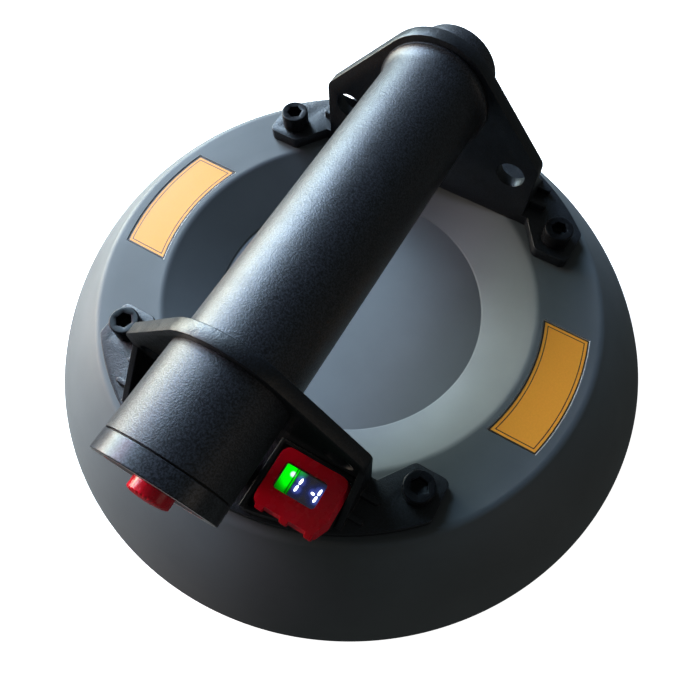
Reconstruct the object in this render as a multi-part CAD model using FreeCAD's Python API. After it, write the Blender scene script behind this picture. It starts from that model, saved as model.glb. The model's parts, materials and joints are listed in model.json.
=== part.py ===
import FreeCAD, Part
import math
import os

# Handheld vacuum cup lifter for floor tiles: a moulded rubber cup, two cast brackets and a tube
# handle that holds the vacuum pump and its battery.
# Millimetres. Origin: centre of the cup's rim on the floor. +Z up, the handle runs along Y, and
# the end with the power button points to -Y.

V = FreeCAD.Vector
X_AXIS, Y_AXIS, Z_AXIS = V(1, 0, 0), V(0, 1, 0), V(0, 0, 1)

running_fit = 0.05           # radial clearance of every turned or running fit
edge_chamfer = 0.5
tiny = 0.01                  # tolerance when an edge is picked by its place
over = 1.0                   # how far a cutting tool runs past what it cuts

# ---- cup ---------------------------------------------------------------------------------
cup_rim_r = 114.3            # nine inch cup
cup_height = 38.2            # floor to the flat ring that carries the brackets
ring_margin = 2.8            # flat ring outside the brackets' feet, before rounding
ring_width = 22.5
dish_r = 48.6                # flat disc in the middle
dish_depth = 10.8            # below the flat ring
dish_step = 0.5              # the disc lies a little below the slope round it
skirt_bulge = 2.2            # how far the skirt bows out of a straight cone
rim_height = 3.0             # straight band at the rim
wall_skirt = 5.5
wall_ring = 10.0
wall_slope = 5.0             # the slope's underside, measured along the radius
wall_dish = 8.0
under_dish_inset = 2.0
ring_edge_round = 3.5
label_half_width = 22.9      # shallow pocket for a plate, one on each side of the ring
label_in_margin = 2.5
label_out_margin = 4.0
label_depth = 0.6

seal_width = 9.6             # foam ring in a groove of the rim
seal_height = 5.0
rim_lip = 3.8                # rubber on both sides of the foam ring

backing_overhang = 2.0       # steel ring bonded under the flat ring, past its inner edge
backing_clear = 0.5
backing_t = 3.0

# ---- brackets ----------------------------------------------------------------------------
plate_t = 4.4
foot_depth = 25.7            # from the upright to the foot's outer edge
collar_wall = 3.5            # collar outside the handle tube
shoulder_half_width = 40.8
shoulder_rise = 23.1         # corner where the sloping edge would meet the upright edge
shoulder_round = 5.0
ear_out, ear_side, ear_in = 7.4, 7.6, 4.6    # ear outside, towards the middle and inside its screw
ear_flare = 0.5
ear_round = 2.4
ear_root = 1.8               # the ear's slanting edge starts this far outside the upright
gusset_t = 2.2
gusset_reach = 14.2
gusset_rise = 16.2
rib_w, rib_h = 2.0, 2.6      # two short ribs stand outside each gusset
rib_lengths = (6.1, 4.8)
rib_places = (0.8, 8.2)      # from the upright's outer face
side_hole_r = 5.0
side_hole_inset = 8.8        # from the upright's side edge
side_hole_rise = 16.6        # above the foot
bend_r = 2.6
seat_depth = 0.8             # recesses that centre the tube and the barrel

screw_inset = 9.9            # screws stand on a circle inside the foot's outer edge
screw_angle = 43.7
screw_r = 2.95               # M6
screw_hole_clear = 0.35
screw_head_r, screw_head_h = 5.0, 6.0
screw_socket_flats = 5.0
screw_socket_depth = 3.2
nut_flats, nut_h = 10.0, 5.0

# ---- handle ------------------------------------------------------------------------------
handle_rise = 35.9           # handle's axis above the feet
tube_r = 17.7
tube_wall = 1.7
flare_step = 1.6             # the tube opens out where it meets the rear bracket
flare_len = 6.0
flare_land = 1.0             # straight end of the flare
barrel_step = 0.5            # barrel stands out past the tube
barrel_flange_t = 2.5        # inner flange that the tie screws pull on
front_groove = 1.0           # gap between barrel and end cap, filled by a gasket
gasket_inset = 1.0
cap_head_len = 5.3
cap_spigot_len = 5.0
rear_cap_inset = 3.0         # rear cap's radius is this much under the tube's
rear_cap_len = 12.0
rear_gasket_t = 0.8
rear_gasket_wall = 0.8       # between the rear gasket's groove and the cap's spigot
rear_spigot_gap = 0.6
rear_boss_h = 2.0            # the boss centres the tube on the rear bracket
boss_wall = 1.75             # left between a tie screw's hole and the boss's bore

# ---- power button ------------------------------------------------------------------------
button_r = 6.0
button_side = 2.2            # straight part outside the end cap
button_dome = 2.7
button_flutes = 26
button_flute_r = 0.38
button_flange_step = 1.3
button_flange_t = 1.45
button_flange_clear = 0.3
button_floor = 3.5           # thickness of the end cap in front of the button's flange
button_stem_r = 2.2
button_travel = 2.0
button_rest_gap = 0.1        # left between stem and switch when fully pressed
spring_wire = 0.35           # wire radius
spring_inset = 0.4           # coil's mean radius is this much under the button's
spring_turns = 4
indicator_inset = 4.3        # red ring's mean radius, from the cap's edge
indicator_w = 0.7
indicator_depth = 0.5

# ---- inside the handle -------------------------------------------------------------------
tie_count = 4
tie_inset = 2.5              # tie screws stand on a circle this much inside the bore
tie_r = 1.2
tie_head_r, tie_head_len = 2.1, 2.0
tie_thread = 2.8             # how far a tie screw enters the rear bracket
tie_clear = 0.3              # round a tie screw, to what passes beside it
board_t = 1.6
board_clear = 0.3
board_to_flange = 2.5
pump_to_board = 11.0
switch_side, switch_h = 6.0, 3.5
plunger_r = 1.7
plunger_h = 1.4
sensor_side, sensor_h, sensor_rise = 7.0, 4.5, 2.0
sensor_nose_r, sensor_nose_len = 1.2, 3.0
valve_r, valve_h = 3.2, 8.0
valve_below_axis = 12.0
valve_ahead = 6.0            # vacuum line's axis, in front of the pump
nipple_r = 1.5
pump_len = 24.0
pump_overhang = 12.4         # pump's front end beyond the front bracket's inner face
motor_len = 25.0
motor_tail_share = 0.4       # rear bearing's radius as a share of the motor's
motor_tail_len = 0.8
motor_gap = 1.6              # from the motor's rear face to the battery holder
crank_chamber_wall, crank_chamber_len = 3.5, 11.0
crank_shaft_r = 1.0
crank_r, crank_offset, crank_w = 4.5, 1.5, 4.0
crank_gap = 1.5              # in front of the eccentric
crank_in_motor = 15.0
crank_end_gap = 0.3
mount_w, mount_setback = 6.0, 4.0
cell_r, cell_len = 9.2, 65.0
cell_pole_r, cell_pole_len = 3.0, 1.2
contact_t, contact_r = 0.5, 6.0
holder_disc_t = 2.5
holder_wall = 2.4
holder_cut_share = 0.45      # height of the trough's open side, as a share of the cell's radius
lead_r, lead_inset = 0.8, 1.8
port_w, port_h, port_len = 9.0, 3.3, 8.0
port_wall = 0.4
port_set_in = 0.2
port_flat = 0.3              # straight part left between the port's rounded corners
tongue_side_gap, tongue_t, tongue_set_in = 1.2, 0.7, 1.2

# ---- vacuum line under the barrel --------------------------------------------------------
line_bore = 1.3
shank_r = 4.0
barb_r = 2.3
barb_len = 5.0
tube_port_wall = 0.9
fitting_flats, fitting_nut_h = 11.0, 3.4
fitting_head_r, fitting_head_h = 6.0, 2.0
filter_h = 3.0
hose_wall = 1.8
port_collar_r, port_collar_h = 4.6, 1.0

# ---- display -----------------------------------------------------------------------------
display_left, display_wall = 12.8, 1.5
display_rear_wall = 1.1
display_clear = 0.3          # to the bracket's gusset and upright
display_setback = 1.1        # the housing's front wall follows the foot's edge
display_floor = 1.5
display_rib_h = 1.0
bezel_rise = 6.0             # above the foot
bezel_t = 2.6
bezel_setback = 2.2          # bezel's left edge behind the housing's left face
bezel_rear_gap, bezel_len = 1.6, 18.9
bezel_round = 3.0
bezel_lug_w, bezel_lug_out, bezel_lug_inset = 3.0, 1.3, 1.4
bezel_lug_lip = 0.6          # the lugs lie this much below the bezel's face
bezel_lugs = 3
window_side, window_w = 5.1, 14.2            # from the housing's left face
window_rear_gap, window_l = 5.6, 8.7
window_round = 1.1
window_t, window_sunk = 0.9, 0.3
light_w = 4.9                # width of the battery light, left of the digits
light_clear = 0.4            # between the lit blocks and the window's opening
display_board_t = 1.2
display_board_clear, display_board_right, display_board_rear = 0.2, 3.2, 1.0

# ---- derived: heights --------------------------------------------------------------------
plate_top = cup_height + plate_t          # upper face of the feet
handle_z = plate_top + handle_rise
shoulder_z = plate_top + shoulder_rise
side_hole_z = plate_top + side_hole_rise
dish_z = cup_height - dish_depth
bezel_z = plate_top + bezel_rise
bezel_top = bezel_z + bezel_t
backing_z = cup_height - wall_ring - backing_t

# ---- derived: lengths along the handle, from what it holds -------------------------------
held_len = pump_len + motor_len + motor_gap + cell_len + 2 * (contact_t + holder_disc_t)
bracket_gap = held_len + rear_boss_h - pump_overhang
face = bracket_gap / 2                    # inner face of each upright
back = face + plate_t                     # its outer face
front_seat = face + seat_depth
rear_boss = face - rear_boss_h
pump_front = face + pump_overhang
pump_back = pump_front - pump_len
motor_back = pump_back - motor_len
line_y = -(pump_front + valve_ahead)
board_front = pump_front + pump_to_board
flange_in = board_front + board_to_flange
tie_seat = flange_in + barrel_flange_t
barrel_front = tie_seat + tie_head_len + 0.2
cap_back = barrel_front + front_groove
cap_front = cap_back + cap_head_len
rear_end = back + rear_cap_len
button_flange_front = cap_front - button_floor - running_fit
button_flange_back = button_flange_front - button_flange_t
plunger_tip = board_front + switch_h + plunger_h
stem_end = plunger_tip + button_travel + button_rest_gap

# ---- derived: radii round the handle -----------------------------------------------------
tube_bore = tube_r - tube_wall
barrel_r = tube_r + barrel_step
flare_r = tube_r + flare_step
collar_r = tube_r + collar_wall
rear_cap_r = tube_r - rear_cap_inset
tie_ring_r = tube_bore - tie_inset
tie_hole_r = tie_r + running_fit
rear_bore_r = tie_ring_r - tie_hole_r - boss_wall
barrel_flange_r = tie_ring_r - tie_head_r - tie_clear - running_fit
pump_r = tie_ring_r - tie_r - tie_clear
crank_chamber_r = pump_r - crank_chamber_wall
lead_ring_r = tube_bore - lead_inset
button_flange_r = button_r + button_flange_step
spring_mean_r = button_r - spring_inset
indicator_r = barrel_r - indicator_inset
port_shank_r = barb_r + tube_port_wall
collar_low = handle_z - barrel_r - port_collar_h

# ---- derived: cup, feet and display in plan ----------------------------------------------
flange_r = back + foot_depth              # outer edge of the feet, concentric with the cup
ring_outer_r = flange_r + ring_margin     # where the flat ring meets the skirt
ring_inner_r = ring_outer_r - ring_width
backing_outer_r = ring_outer_r - wall_skirt - backing_clear
backing_inner_r = ring_inner_r - backing_overhang
label_inner_r = ring_inner_r + label_in_margin
label_outer_r = ring_outer_r - label_out_margin
screw_ring_r = flange_r - screw_inset
screw_x = screw_ring_r * math.cos(math.radians(screw_angle))
screw_y = screw_ring_r * math.sin(math.radians(screw_angle))
screw_hole_r = screw_r + screw_hole_clear
side_hole_x = shoulder_half_width - side_hole_inset
display_front_r = flange_r - display_setback
display_right = shoulder_half_width - gusset_t - display_clear
display_rear = -(back + display_clear)
board_z = plate_top + display_floor + display_rib_h
bezel_rear_y = -(back + bezel_rear_gap)
bezel_front_y = bezel_rear_y - bezel_len
window_x0, window_x1 = display_left + window_side, display_left + window_side + window_w
window_y1 = -(back + window_rear_gap)
window_y0 = window_y1 - window_l
window_low = bezel_top - window_sunk - window_t


# ---- shapes that several pieces use --------------------------------------------------------
def ycyl(r, y0, y1, x=0.0, z=handle_z):
    """Round bar along Y from y0 to y1."""
    lo, hi = min(y0, y1), max(y0, y1)
    return Part.makeCylinder(r, hi - lo, V(x, lo, z), Y_AXIS)


def yring(r_out, r_in, y0, y1):
    lo, hi = min(y0, y1), max(y0, y1)
    return ycyl(r_out, lo, hi).cut(ycyl(r_in, lo - over, hi + over))


def zcyl(r, z0, z1, x=0.0, y=0.0):
    return Part.makeCylinder(r, z1 - z0, V(x, y, z0), Z_AXIS)


def block(x0, x1, y0, y1, z0, z1):
    return Part.makeBox(x1 - x0, y1 - y0, z1 - z0, V(x0, y0, z0))


def hexagon(flats, z0, z1, x=0.0, y=0.0):
    r = flats / math.sqrt(3)
    corners = [math.radians(60 * i) for i in range(7)]
    outline = Part.makePolygon([V(x + r * math.cos(a), y + r * math.sin(a), z0) for a in corners])
    return Part.Face(outline).extrude(V(0, 0, z1 - z0))


def fuse(solids):
    return solids[0].multiFuse(solids[1:]).removeSplitter()


def mirrored_y(shape):
    return shape.mirror(V(0, 0, 0), Y_AXIS)


def rounded_plate(x0, x1, y0, y1, z0, z1, r):
    plate = block(x0, x1, y0, y1, z0, z1)
    corners = [e for e in plate.Edges if e.BoundBox.ZLength > z1 - z0 - tiny]
    return plate.makeFillet(r, corners)


def polyline(points):
    return [Part.LineSegment(p, q).toShape() for p, q in zip(points, points[1:])]


def rz(r, z):
    """Point of an outline that is turned round the Z axis."""
    return V(r, 0, z)


def yr(y, r):
    """Point of an outline that is turned round the handle's axis."""
    return V(0, y, handle_z + r)


def turned(edges):
    """Turn a closed outline once round the handle's axis."""
    return Part.Face(Part.Wire(edges)).revolve(V(0, 0, handle_z), Y_AXIS, 360)


def chamfered_head(y_seat, y_end, r):
    """Round head from its seat to its outer end, whose edge is chamfered."""
    c = math.copysign(edge_chamfer, y_end - y_seat)
    return turned(polyline([yr(y_seat, 0), yr(y_seat, r), yr(y_end - c, r),
                            yr(y_end, r - edge_chamfer), yr(y_end, 0), yr(y_seat, 0)]))


# ---- places of repeated pieces -------------------------------------------------------------
def around_handle(radius, count, first_deg):
    """Points spaced evenly round the handle's axis, as (x, z)."""
    steps = [math.radians(first_deg + 360.0 * i / count) for i in range(count)]
    return [(radius * math.cos(a), handle_z + radius * math.sin(a)) for a in steps]


def tie_places():
    return around_handle(tie_ring_r, tie_count, 45)


def lead_places():
    return around_handle(lead_ring_r, 2, 0)


def screw_places():
    return [(sx * screw_x, sy * screw_y) for sx in (-1, 1) for sy in (-1, 1)]


def without_tie_holes(shape, y0, y1):
    for x, z in tie_places():
        shape = shape.cut(ycyl(tie_hole_r, y0, y1, x, z))
    return shape


def without_screw_holes(shape, z0, z1):
    for x, y in screw_places():
        shape = shape.cut(zcyl(screw_hole_r, z0, z1, x, y))
    return shape


def without_line_hole(shape, z0, z1):
    """Hole for the vacuum fitting that goes through ring, cup and front foot."""
    return shape.cut(zcyl(shank_r + running_fit, z0, z1, 0, line_y))


# ---- cup pieces ----------------------------------------------------------------------------
def bowed(p, q, out):
    """Arc from p to q whose middle stands `out` off the straight line between them."""
    d = q - p
    middle = (p + q) * 0.5 + V(d.z, 0, -d.x) * (out / d.Length)
    return Part.Arc(p, middle, q).toShape()


def cup_pad():
    seal_out = cup_rim_r - rim_lip
    seal_in = seal_out - seal_width
    under_ring = cup_height - wall_ring
    under_dish = dish_z - wall_dish
    floor_z = dish_z - dish_step
    rim_top, ring_out = rz(cup_rim_r, rim_height), rz(ring_outer_r, cup_height)
    inner_foot = rz(seal_in - rim_lip, rim_height)
    inner_top = rz(ring_outer_r - wall_skirt, under_ring)
    upper = [rz(0, floor_z), rz(dish_r, floor_z), rz(dish_r, dish_z), rz(ring_inner_r, cup_height), ring_out]
    rim = [rim_top, rz(cup_rim_r, 0), rz(seal_out, 0), rz(seal_out, seal_height),
           rz(seal_in, seal_height), rz(seal_in, 0), rz(seal_in - rim_lip, 0), inner_foot]
    under = [inner_top, rz(ring_inner_r - wall_slope, under_ring), rz(dish_r - under_dish_inset, under_dish),
             rz(0, under_dish), rz(0, floor_z)]
    edges = polyline(upper) + [bowed(rim_top, ring_out, skirt_bulge)]
    edges += polyline(rim) + [bowed(inner_foot, inner_top, skirt_bulge)] + polyline(under)
    pad = Part.Face(Part.Wire(edges)).revolve(V(0, 0, 0), Z_AXIS, 360)
    crest = [e for e in pad.Edges if round_edge_at(e, ring_outer_r, cup_height)
             or round_edge_at(e, ring_inner_r, cup_height)]
    pad = pad.makeFillet(ring_edge_round, crest)
    for side in (-1, 1):
        pad = pad.cut(label_pocket(side))
    pad = without_screw_holes(pad, backing_z, cup_height + over)
    return without_line_hole(pad, backing_z, cup_height + over)


def round_edge_at(edge, r, z):
    box = edge.BoundBox
    return box.ZLength < tiny and abs(box.ZMax - z) < tiny and abs(box.XMax - r) < tiny


def label_pocket(side):
    low, high = cup_height - label_depth, cup_height + over
    band = zcyl(label_outer_r, low, high).cut(zcyl(label_inner_r, low - over, high + over))
    x0, x1 = (0, cup_rim_r) if side > 0 else (-cup_rim_r, 0)
    return band.common(block(x0, x1, -label_half_width, label_half_width, low, high))


def backing_ring():
    low, top = backing_z, backing_z + backing_t
    ring = zcyl(backing_outer_r, low, top).cut(zcyl(backing_inner_r, low - over, top + over))
    ring = without_screw_holes(ring, low - over, top + over)
    return without_line_hole(ring, low - over, top + over)


def weld_nuts():
    nuts = []
    for x, y in screw_places():
        nut = hexagon(nut_flats, backing_z - nut_h, backing_z, x, y)
        nuts.append(nut.cut(zcyl(screw_r + running_fit, backing_z - nut_h - over, backing_z + over, x, y)))
    return Part.makeCompound(nuts)


def sealing_ring():
    outer = cup_rim_r - rim_lip
    return zcyl(outer, 0, seal_height).cut(zcyl(outer - seal_width, -over, seal_height + over))


def mounting_screws():
    screws = []
    tip = backing_z - nut_h
    head_top = plate_top + screw_head_h
    for x, y in screw_places():
        head = zcyl(screw_head_r, plate_top, head_top, x, y)
        top_edge = [e for e in head.Edges if abs(e.BoundBox.ZMin - head_top) < tiny]
        head = head.makeFillet(edge_chamfer, top_edge)
        head = head.cut(hexagon(screw_socket_flats, head_top - screw_socket_depth, head_top + over, x, y))
        screws.append(head.fuse(zcyl(screw_r, tip, plate_top, x, y)).removeSplitter())
    return Part.makeCompound(screws)


# ---- brackets ------------------------------------------------------------------------------
def upright():
    """Plate with a round collar over two straight sloping edges that run tangent to it."""
    corner_d = math.hypot(shoulder_half_width, handle_z - shoulder_z)
    corner_a = math.atan2(shoulder_z - handle_z, shoulder_half_width)
    tangent_a = corner_a + math.acos(collar_r / corner_d)
    touch_x, touch_z = collar_r * math.cos(tangent_a), handle_z + collar_r * math.sin(tangent_a)
    w = shoulder_half_width
    left = V(-touch_x, face, touch_z)
    right = V(touch_x, face, touch_z)
    crown = Part.Arc(right, V(0, face, handle_z + collar_r), left).toShape()
    sides = polyline([left, V(-w, face, shoulder_z), V(-w, face, cup_height), V(w, face, cup_height),
                      V(w, face, shoulder_z), right])
    plate = Part.Face(Part.Wire(sides + [crown])).extrude(V(0, plate_t, 0))
    shoulders = [e for e in plate.Edges if abs(e.BoundBox.ZMin - shoulder_z) < tiny
                 and e.BoundBox.YLength > plate_t - tiny and e.BoundBox.XLength < tiny]
    return plate.makeFillet(shoulder_round, shoulders)


def foot():
    """Base plate: an outer edge concentric with the cup and two ears that carry the screws."""
    z = cup_height
    out_x, side_y, in_x = screw_x + ear_out, screw_y - ear_side, screw_x - ear_in
    tip_x = out_x + ear_flare
    tip_y = math.sqrt(flange_r ** 2 - tip_x ** 2)
    right = [V(shoulder_half_width + ear_root, face, z), V(in_x, side_y, z), V(out_x, side_y, z),
             V(tip_x, tip_y, z)]
    left = [V(-p.x, p.y, z) for p in reversed(right)]
    rim = Part.Arc(right[-1], V(0, flange_r, z), left[0]).toShape()
    outline = Part.Wire(polyline(right) + [rim] + polyline(left + [right[0]]))
    plate = Part.Face(outline).extrude(V(0, 0, plate_t))
    corners = [e for e in plate.Edges if e.BoundBox.ZLength > plate_t - tiny
               and abs(e.BoundBox.XMin) > in_x - tiny]
    return plate.makeFillet(ear_round, corners)


def gusset(side):
    """Triangular side wall between the upright and the foot."""
    x = side * (shoulder_half_width - (gusset_t if side > 0 else 0))
    low, tip_y, tip_z = plate_top - over, back + gusset_reach, plate_top + gusset_rise
    slope = gusset_rise / gusset_reach
    outline = [V(x, back - over, low), V(x, back - over, tip_z + slope * over), V(x, tip_y, plate_top),
               V(x, tip_y, low), V(x, back - over, low)]
    return Part.Face(Part.makePolygon(outline)).extrude(V(gusset_t, 0, 0))


def ribs(side):
    bars = []
    low, high = plate_top - over, plate_top + rib_h
    for length, place in zip(rib_lengths, rib_places):
        y = back + place + rib_w / 2
        root = side * (shoulder_half_width - gusset_t / 2)
        end = side * (shoulder_half_width + length - rib_w / 2)
        bars.append(block(min(root, end), max(root, end), y - rib_w / 2, y + rib_w / 2, low, high))
        bars.append(zcyl(rib_w / 2, low, high, end, y))
    return bars


def bracket(bore_r):
    """Rear bracket, before its seat: the front one is its mirror image."""
    body = fuse([upright(), foot(), gusset(-1), gusset(1)] + ribs(-1) + ribs(1))
    bend = [e for e in body.Edges if e.BoundBox.ZLength < tiny and e.BoundBox.YLength < tiny
            and abs(e.BoundBox.ZMin - plate_top) < tiny and abs(e.BoundBox.YMin - back) < tiny
            and e.BoundBox.XLength > shoulder_half_width]
    body = body.makeFillet(bend_r, bend)
    body = body.cut(ycyl(bore_r, face - over, back + over))
    for side in (-1, 1):
        body = body.cut(ycyl(side_hole_r, face - over, back + over, side * side_hole_x, side_hole_z))
    return without_screw_holes(body, cup_height - over, plate_top + over)


def front_bracket():
    body = bracket(tube_bore)
    body = body.cut(ycyl(tube_r + running_fit, face - over, front_seat))
    body = body.cut(ycyl(barrel_r + running_fit, back - seat_depth, back + over))
    return without_line_hole(mirrored_y(body), cup_height - over, plate_top + over)


def rear_bracket():
    body = bracket(rear_bore_r)
    boss = yring(tube_bore - running_fit, rear_bore_r, rear_boss, face)
    return without_tie_holes(fuse([body, boss]), rear_boss - over, face + tie_thread + running_fit)


# ---- handle shell --------------------------------------------------------------------------
def flare():
    """End of the tube, a hollow curve that runs out into a short land."""
    start, land = face - flare_len, face - flare_land
    half_way = yr((start + land) / 2, tube_r + flare_step * 0.36)
    curve = Part.Arc(yr(start, tube_r), half_way, yr(land, flare_r)).toShape()
    return turned([curve] + polyline([yr(land, flare_r), yr(face, flare_r), yr(face, tube_bore),
                                      yr(start, tube_bore), yr(start, tube_r)]))


def handle_tube():
    body = fuse([ycyl(tube_r, -front_seat, face), flare()])
    return body.cut(ycyl(tube_bore, -front_seat - over, face + over))


def front_barrel():
    body = yring(barrel_r, tube_bore, -barrel_front, -(back - seat_depth))
    lug_ring = yring((barrel_r + tube_bore) / 2, barrel_flange_r, -tie_seat, -flange_in)
    body = without_tie_holes(fuse([body, lug_ring]), -tie_seat - over, -flange_in + over)
    wall = zcyl(port_shank_r + running_fit, handle_z - barrel_r - over, handle_z, 0, line_y)
    return body.cut(wall)


def indicator_groove(front):
    half = indicator_w / 2
    return yring(indicator_r + half, indicator_r - half, front, -cap_front + indicator_depth)


def front_end_cap():
    spigot = ycyl(barrel_flange_r - running_fit, -cap_back, -cap_back + cap_spigot_len)
    body = fuse([chamfered_head(-cap_back, -cap_front, barrel_r), spigot])
    body = body.cut(ycyl(button_r + running_fit, -cap_front - over, -cap_back))
    flange_bore = button_flange_r + button_flange_clear
    body = body.cut(ycyl(flange_bore, -cap_front + button_floor, -cap_back + cap_spigot_len + over))
    return body.cut(indicator_groove(-cap_front - over))


def indicator_ring():
    return indicator_groove(-cap_front)


def front_gasket():
    return yring(barrel_r - gasket_inset, tube_bore + running_fit, -cap_back, -barrel_front)


def rear_gasket():
    return yring(rear_cap_r - gasket_inset, rear_bore_r + rear_gasket_wall, back, back + rear_gasket_t)


def port_opening(inset, y0, y1):
    """Rounded bar along Y of the charging port's shape, smaller all round by the inset."""
    w, h = port_w / 2 - inset, port_h / 2 - inset
    bar = block(-w, w, y0, y1, handle_z - h, handle_z + h)
    corners = [e for e in bar.Edges if e.BoundBox.YLength > y1 - y0 - tiny]
    return bar.makeFillet(h - port_flat / 2, corners)


def rear_end_cap():
    spigot = ycyl(rear_bore_r - running_fit, rear_boss + rear_spigot_gap, back)
    body = fuse([chamfered_head(back, rear_end, rear_cap_r), spigot])
    return body.cut(port_opening(0, rear_end - port_len, rear_end + over)).cut(rear_gasket())


def charge_port():
    deep, mouth = rear_end - port_len, rear_end - port_set_in
    shell = port_opening(0, deep, mouth).cut(port_opening(port_wall, deep + over, mouth + over))
    half_w = port_w / 2 - tongue_side_gap
    tongue = block(-half_w, half_w, deep, rear_end - tongue_set_in,
                   handle_z - tongue_t / 2, handle_z + tongue_t / 2)
    return fuse([shell, tongue])


# ---- power button --------------------------------------------------------------------------
def power_button():
    crown_y = -(cap_front + button_side)
    tip_y = crown_y - button_dome
    shoulder = yr(crown_y - button_dome * 0.72, button_r * 0.62)
    dome = Part.Arc(yr(tip_y, 0), shoulder, yr(crown_y, button_r)).toShape()
    body = turned([dome] + polyline([
        yr(crown_y, button_r), yr(-button_flange_front, button_r), yr(-button_flange_front, button_flange_r),
        yr(-button_flange_back, button_flange_r), yr(-button_flange_back, button_stem_r),
        yr(-stem_end, button_stem_r), yr(-stem_end, 0), yr(tip_y, 0)]))
    flutes = [ycyl(button_flute_r, tip_y - over, crown_y + button_side / 4, x, z)
              for x, z in around_handle(button_r, button_flutes, 0)]
    return body.cut(Part.makeCompound(flutes))


def button_spring():
    """Compression spring between the control board and the button's flange."""
    length = button_flange_back - board_front - 2 * spring_wire
    helix = Part.makeHelix(length / spring_turns, length, spring_mean_r)
    section = Part.Wire(Part.makeCircle(spring_wire, V(spring_mean_r, 0, 0), Y_AXIS))
    coil = Part.Wire(helix).makePipeShell([section], True, True)
    coil.rotate(V(0, 0, 0), X_AXIS, -90)
    coil.translate(V(0, -button_flange_back + spring_wire, handle_z))
    return coil


def button_switch():
    half = switch_side / 2
    body = block(-half, half, -(board_front + switch_h), -board_front, handle_z - half, handle_z + half)
    return fuse([body, ycyl(plunger_r, -plunger_tip, -board_front)])


# ---- inside the handle ---------------------------------------------------------------------
def control_board():
    rear = -board_front + board_t
    board = ycyl(tube_bore - board_clear, -board_front, rear)
    return without_tie_holes(board, -board_front - over, rear + over)


def pressure_sensor():
    y, half, low = -board_front + board_t, sensor_side / 2, handle_z + sensor_rise
    body = block(-half, half, y, y + sensor_h, low, low + sensor_side)
    nose = ycyl(sensor_nose_r, y, y + sensor_h + sensor_nose_len, 0, low + half)
    return fuse([body, nose])


def check_valve():
    low = handle_z - valve_below_axis
    return zcyl(valve_r, low, low + valve_h, 0, line_y)


def pump_head():
    """Pump body with an open crank chamber and a nipple that reaches the check valve."""
    nipple_z = handle_z - valve_below_axis + valve_h / 2
    nipple = ycyl(nipple_r, line_y, -pump_front, 0, nipple_z)
    body = fuse([ycyl(pump_r, -pump_front, -pump_back), nipple]).cut(check_valve())
    chamber = ycyl(crank_chamber_r, -pump_back - crank_chamber_len, -pump_back)
    ahead = block(-valve_r, valve_r, line_y - valve_r, line_y, nipple_z - valve_r, nipple_z + valve_r)
    return body.cut(chamber).cut(ahead)


def pump_motor():
    body = ycyl(pump_r, -pump_back, -motor_back)
    tail = ycyl(pump_r * motor_tail_share, -motor_back, -motor_back + motor_tail_len)
    bore = ycyl(crank_shaft_r + running_fit, -pump_back - over, -pump_back + crank_in_motor)
    return fuse([body, tail]).cut(bore)


def pump_crank():
    """Motor shaft with its eccentric."""
    front = -pump_back - crank_chamber_len + crank_gap
    eccentric = ycyl(crank_r, front, front + crank_w, crank_offset)
    shaft = ycyl(crank_shaft_r, front + crank_w / 2, -pump_back + crank_in_motor - crank_end_gap)
    return fuse([shaft, eccentric])


def pump_mounts():
    """Rubber rings that carry the pump and its motor in the tube."""
    rings = []
    for start in (-pump_front + mount_setback, -pump_back + mount_setback):
        ring = yring(tube_bore - running_fit, pump_r, start, start + mount_w)
        ring = without_tie_holes(ring, start - over, start + mount_w + over)
        for x, z in lead_places():
            ring = ring.cut(ycyl(lead_r + running_fit, start - over, start + mount_w + over, x, z))
        rings.append(ring)
    return Part.makeCompound(rings)


def cell_ends():
    rear = rear_boss - holder_disc_t - contact_t
    return rear - cell_len, rear


def battery_cell():
    front, rear = cell_ends()
    return fuse([ycyl(cell_r, front, rear - cell_pole_len), ycyl(cell_pole_r, rear - cell_pole_len, rear)])


def battery_contacts():
    front, rear = cell_ends()
    return Part.makeCompound([ycyl(contact_r, front - contact_t, front),
                              ycyl(contact_r, rear, rear + contact_t)])


def battery_holder():
    """Two end discs joined by a trough that the cell lies in."""
    front, rear = cell_ends()
    front, rear = front - contact_t, rear + contact_t
    discs = [ycyl(tube_bore - running_fit, front - holder_disc_t, front),
             ycyl(tube_bore - running_fit, rear, rear + holder_disc_t)]
    wide = cell_r + holder_wall + over
    open_z = handle_z - cell_r * holder_cut_share
    lower = block(-wide, wide, front - over, rear + over, handle_z - wide, open_z)
    trough = yring(cell_r + holder_wall, cell_r, front - over, rear + over).common(lower)
    reach = holder_disc_t + over
    return without_tie_holes(fuse(discs + [trough]), front - reach, rear + reach)


def battery_leads():
    front = cell_ends()[0] - contact_t - holder_disc_t
    return Part.makeCompound([ycyl(lead_r, -board_front + board_t, front, x, z) for x, z in lead_places()])


def tie_screws():
    screws = []
    for x, z in tie_places():
        shank = ycyl(tie_r, -tie_seat, face + tie_thread, x, z)
        screws.append(fuse([shank, ycyl(tie_head_r, -tie_seat - tie_head_len, -tie_seat, x, z)]))
    return Part.makeCompound(screws)


# ---- vacuum line ---------------------------------------------------------------------------
def bored(solids, z0, z1):
    """Join the solids of a fitting and bore it through along the vacuum line."""
    return fuse(solids).cut(zcyl(line_bore, z0 - over, z1 + over, 0, line_y))


def line_cyl(r, z0, z1):
    return zcyl(r, z0, z1, 0, line_y)


def cup_port():
    low, nut_top = backing_z - fitting_head_h, plate_top + fitting_nut_h
    tip = nut_top + barb_len
    return bored([line_cyl(fitting_head_r, low, backing_z), line_cyl(shank_r, backing_z, nut_top),
                  line_cyl(barb_r, nut_top, tip)], low, tip)


def port_nut():
    top = plate_top + fitting_nut_h
    nut = hexagon(fitting_flats, plate_top, top, 0, line_y)
    return nut.cut(line_cyl(shank_r, plate_top - over, top + over))


def air_filter():
    top = backing_z - fitting_head_h
    return line_cyl(fitting_head_r, top - filter_h, top)


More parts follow.
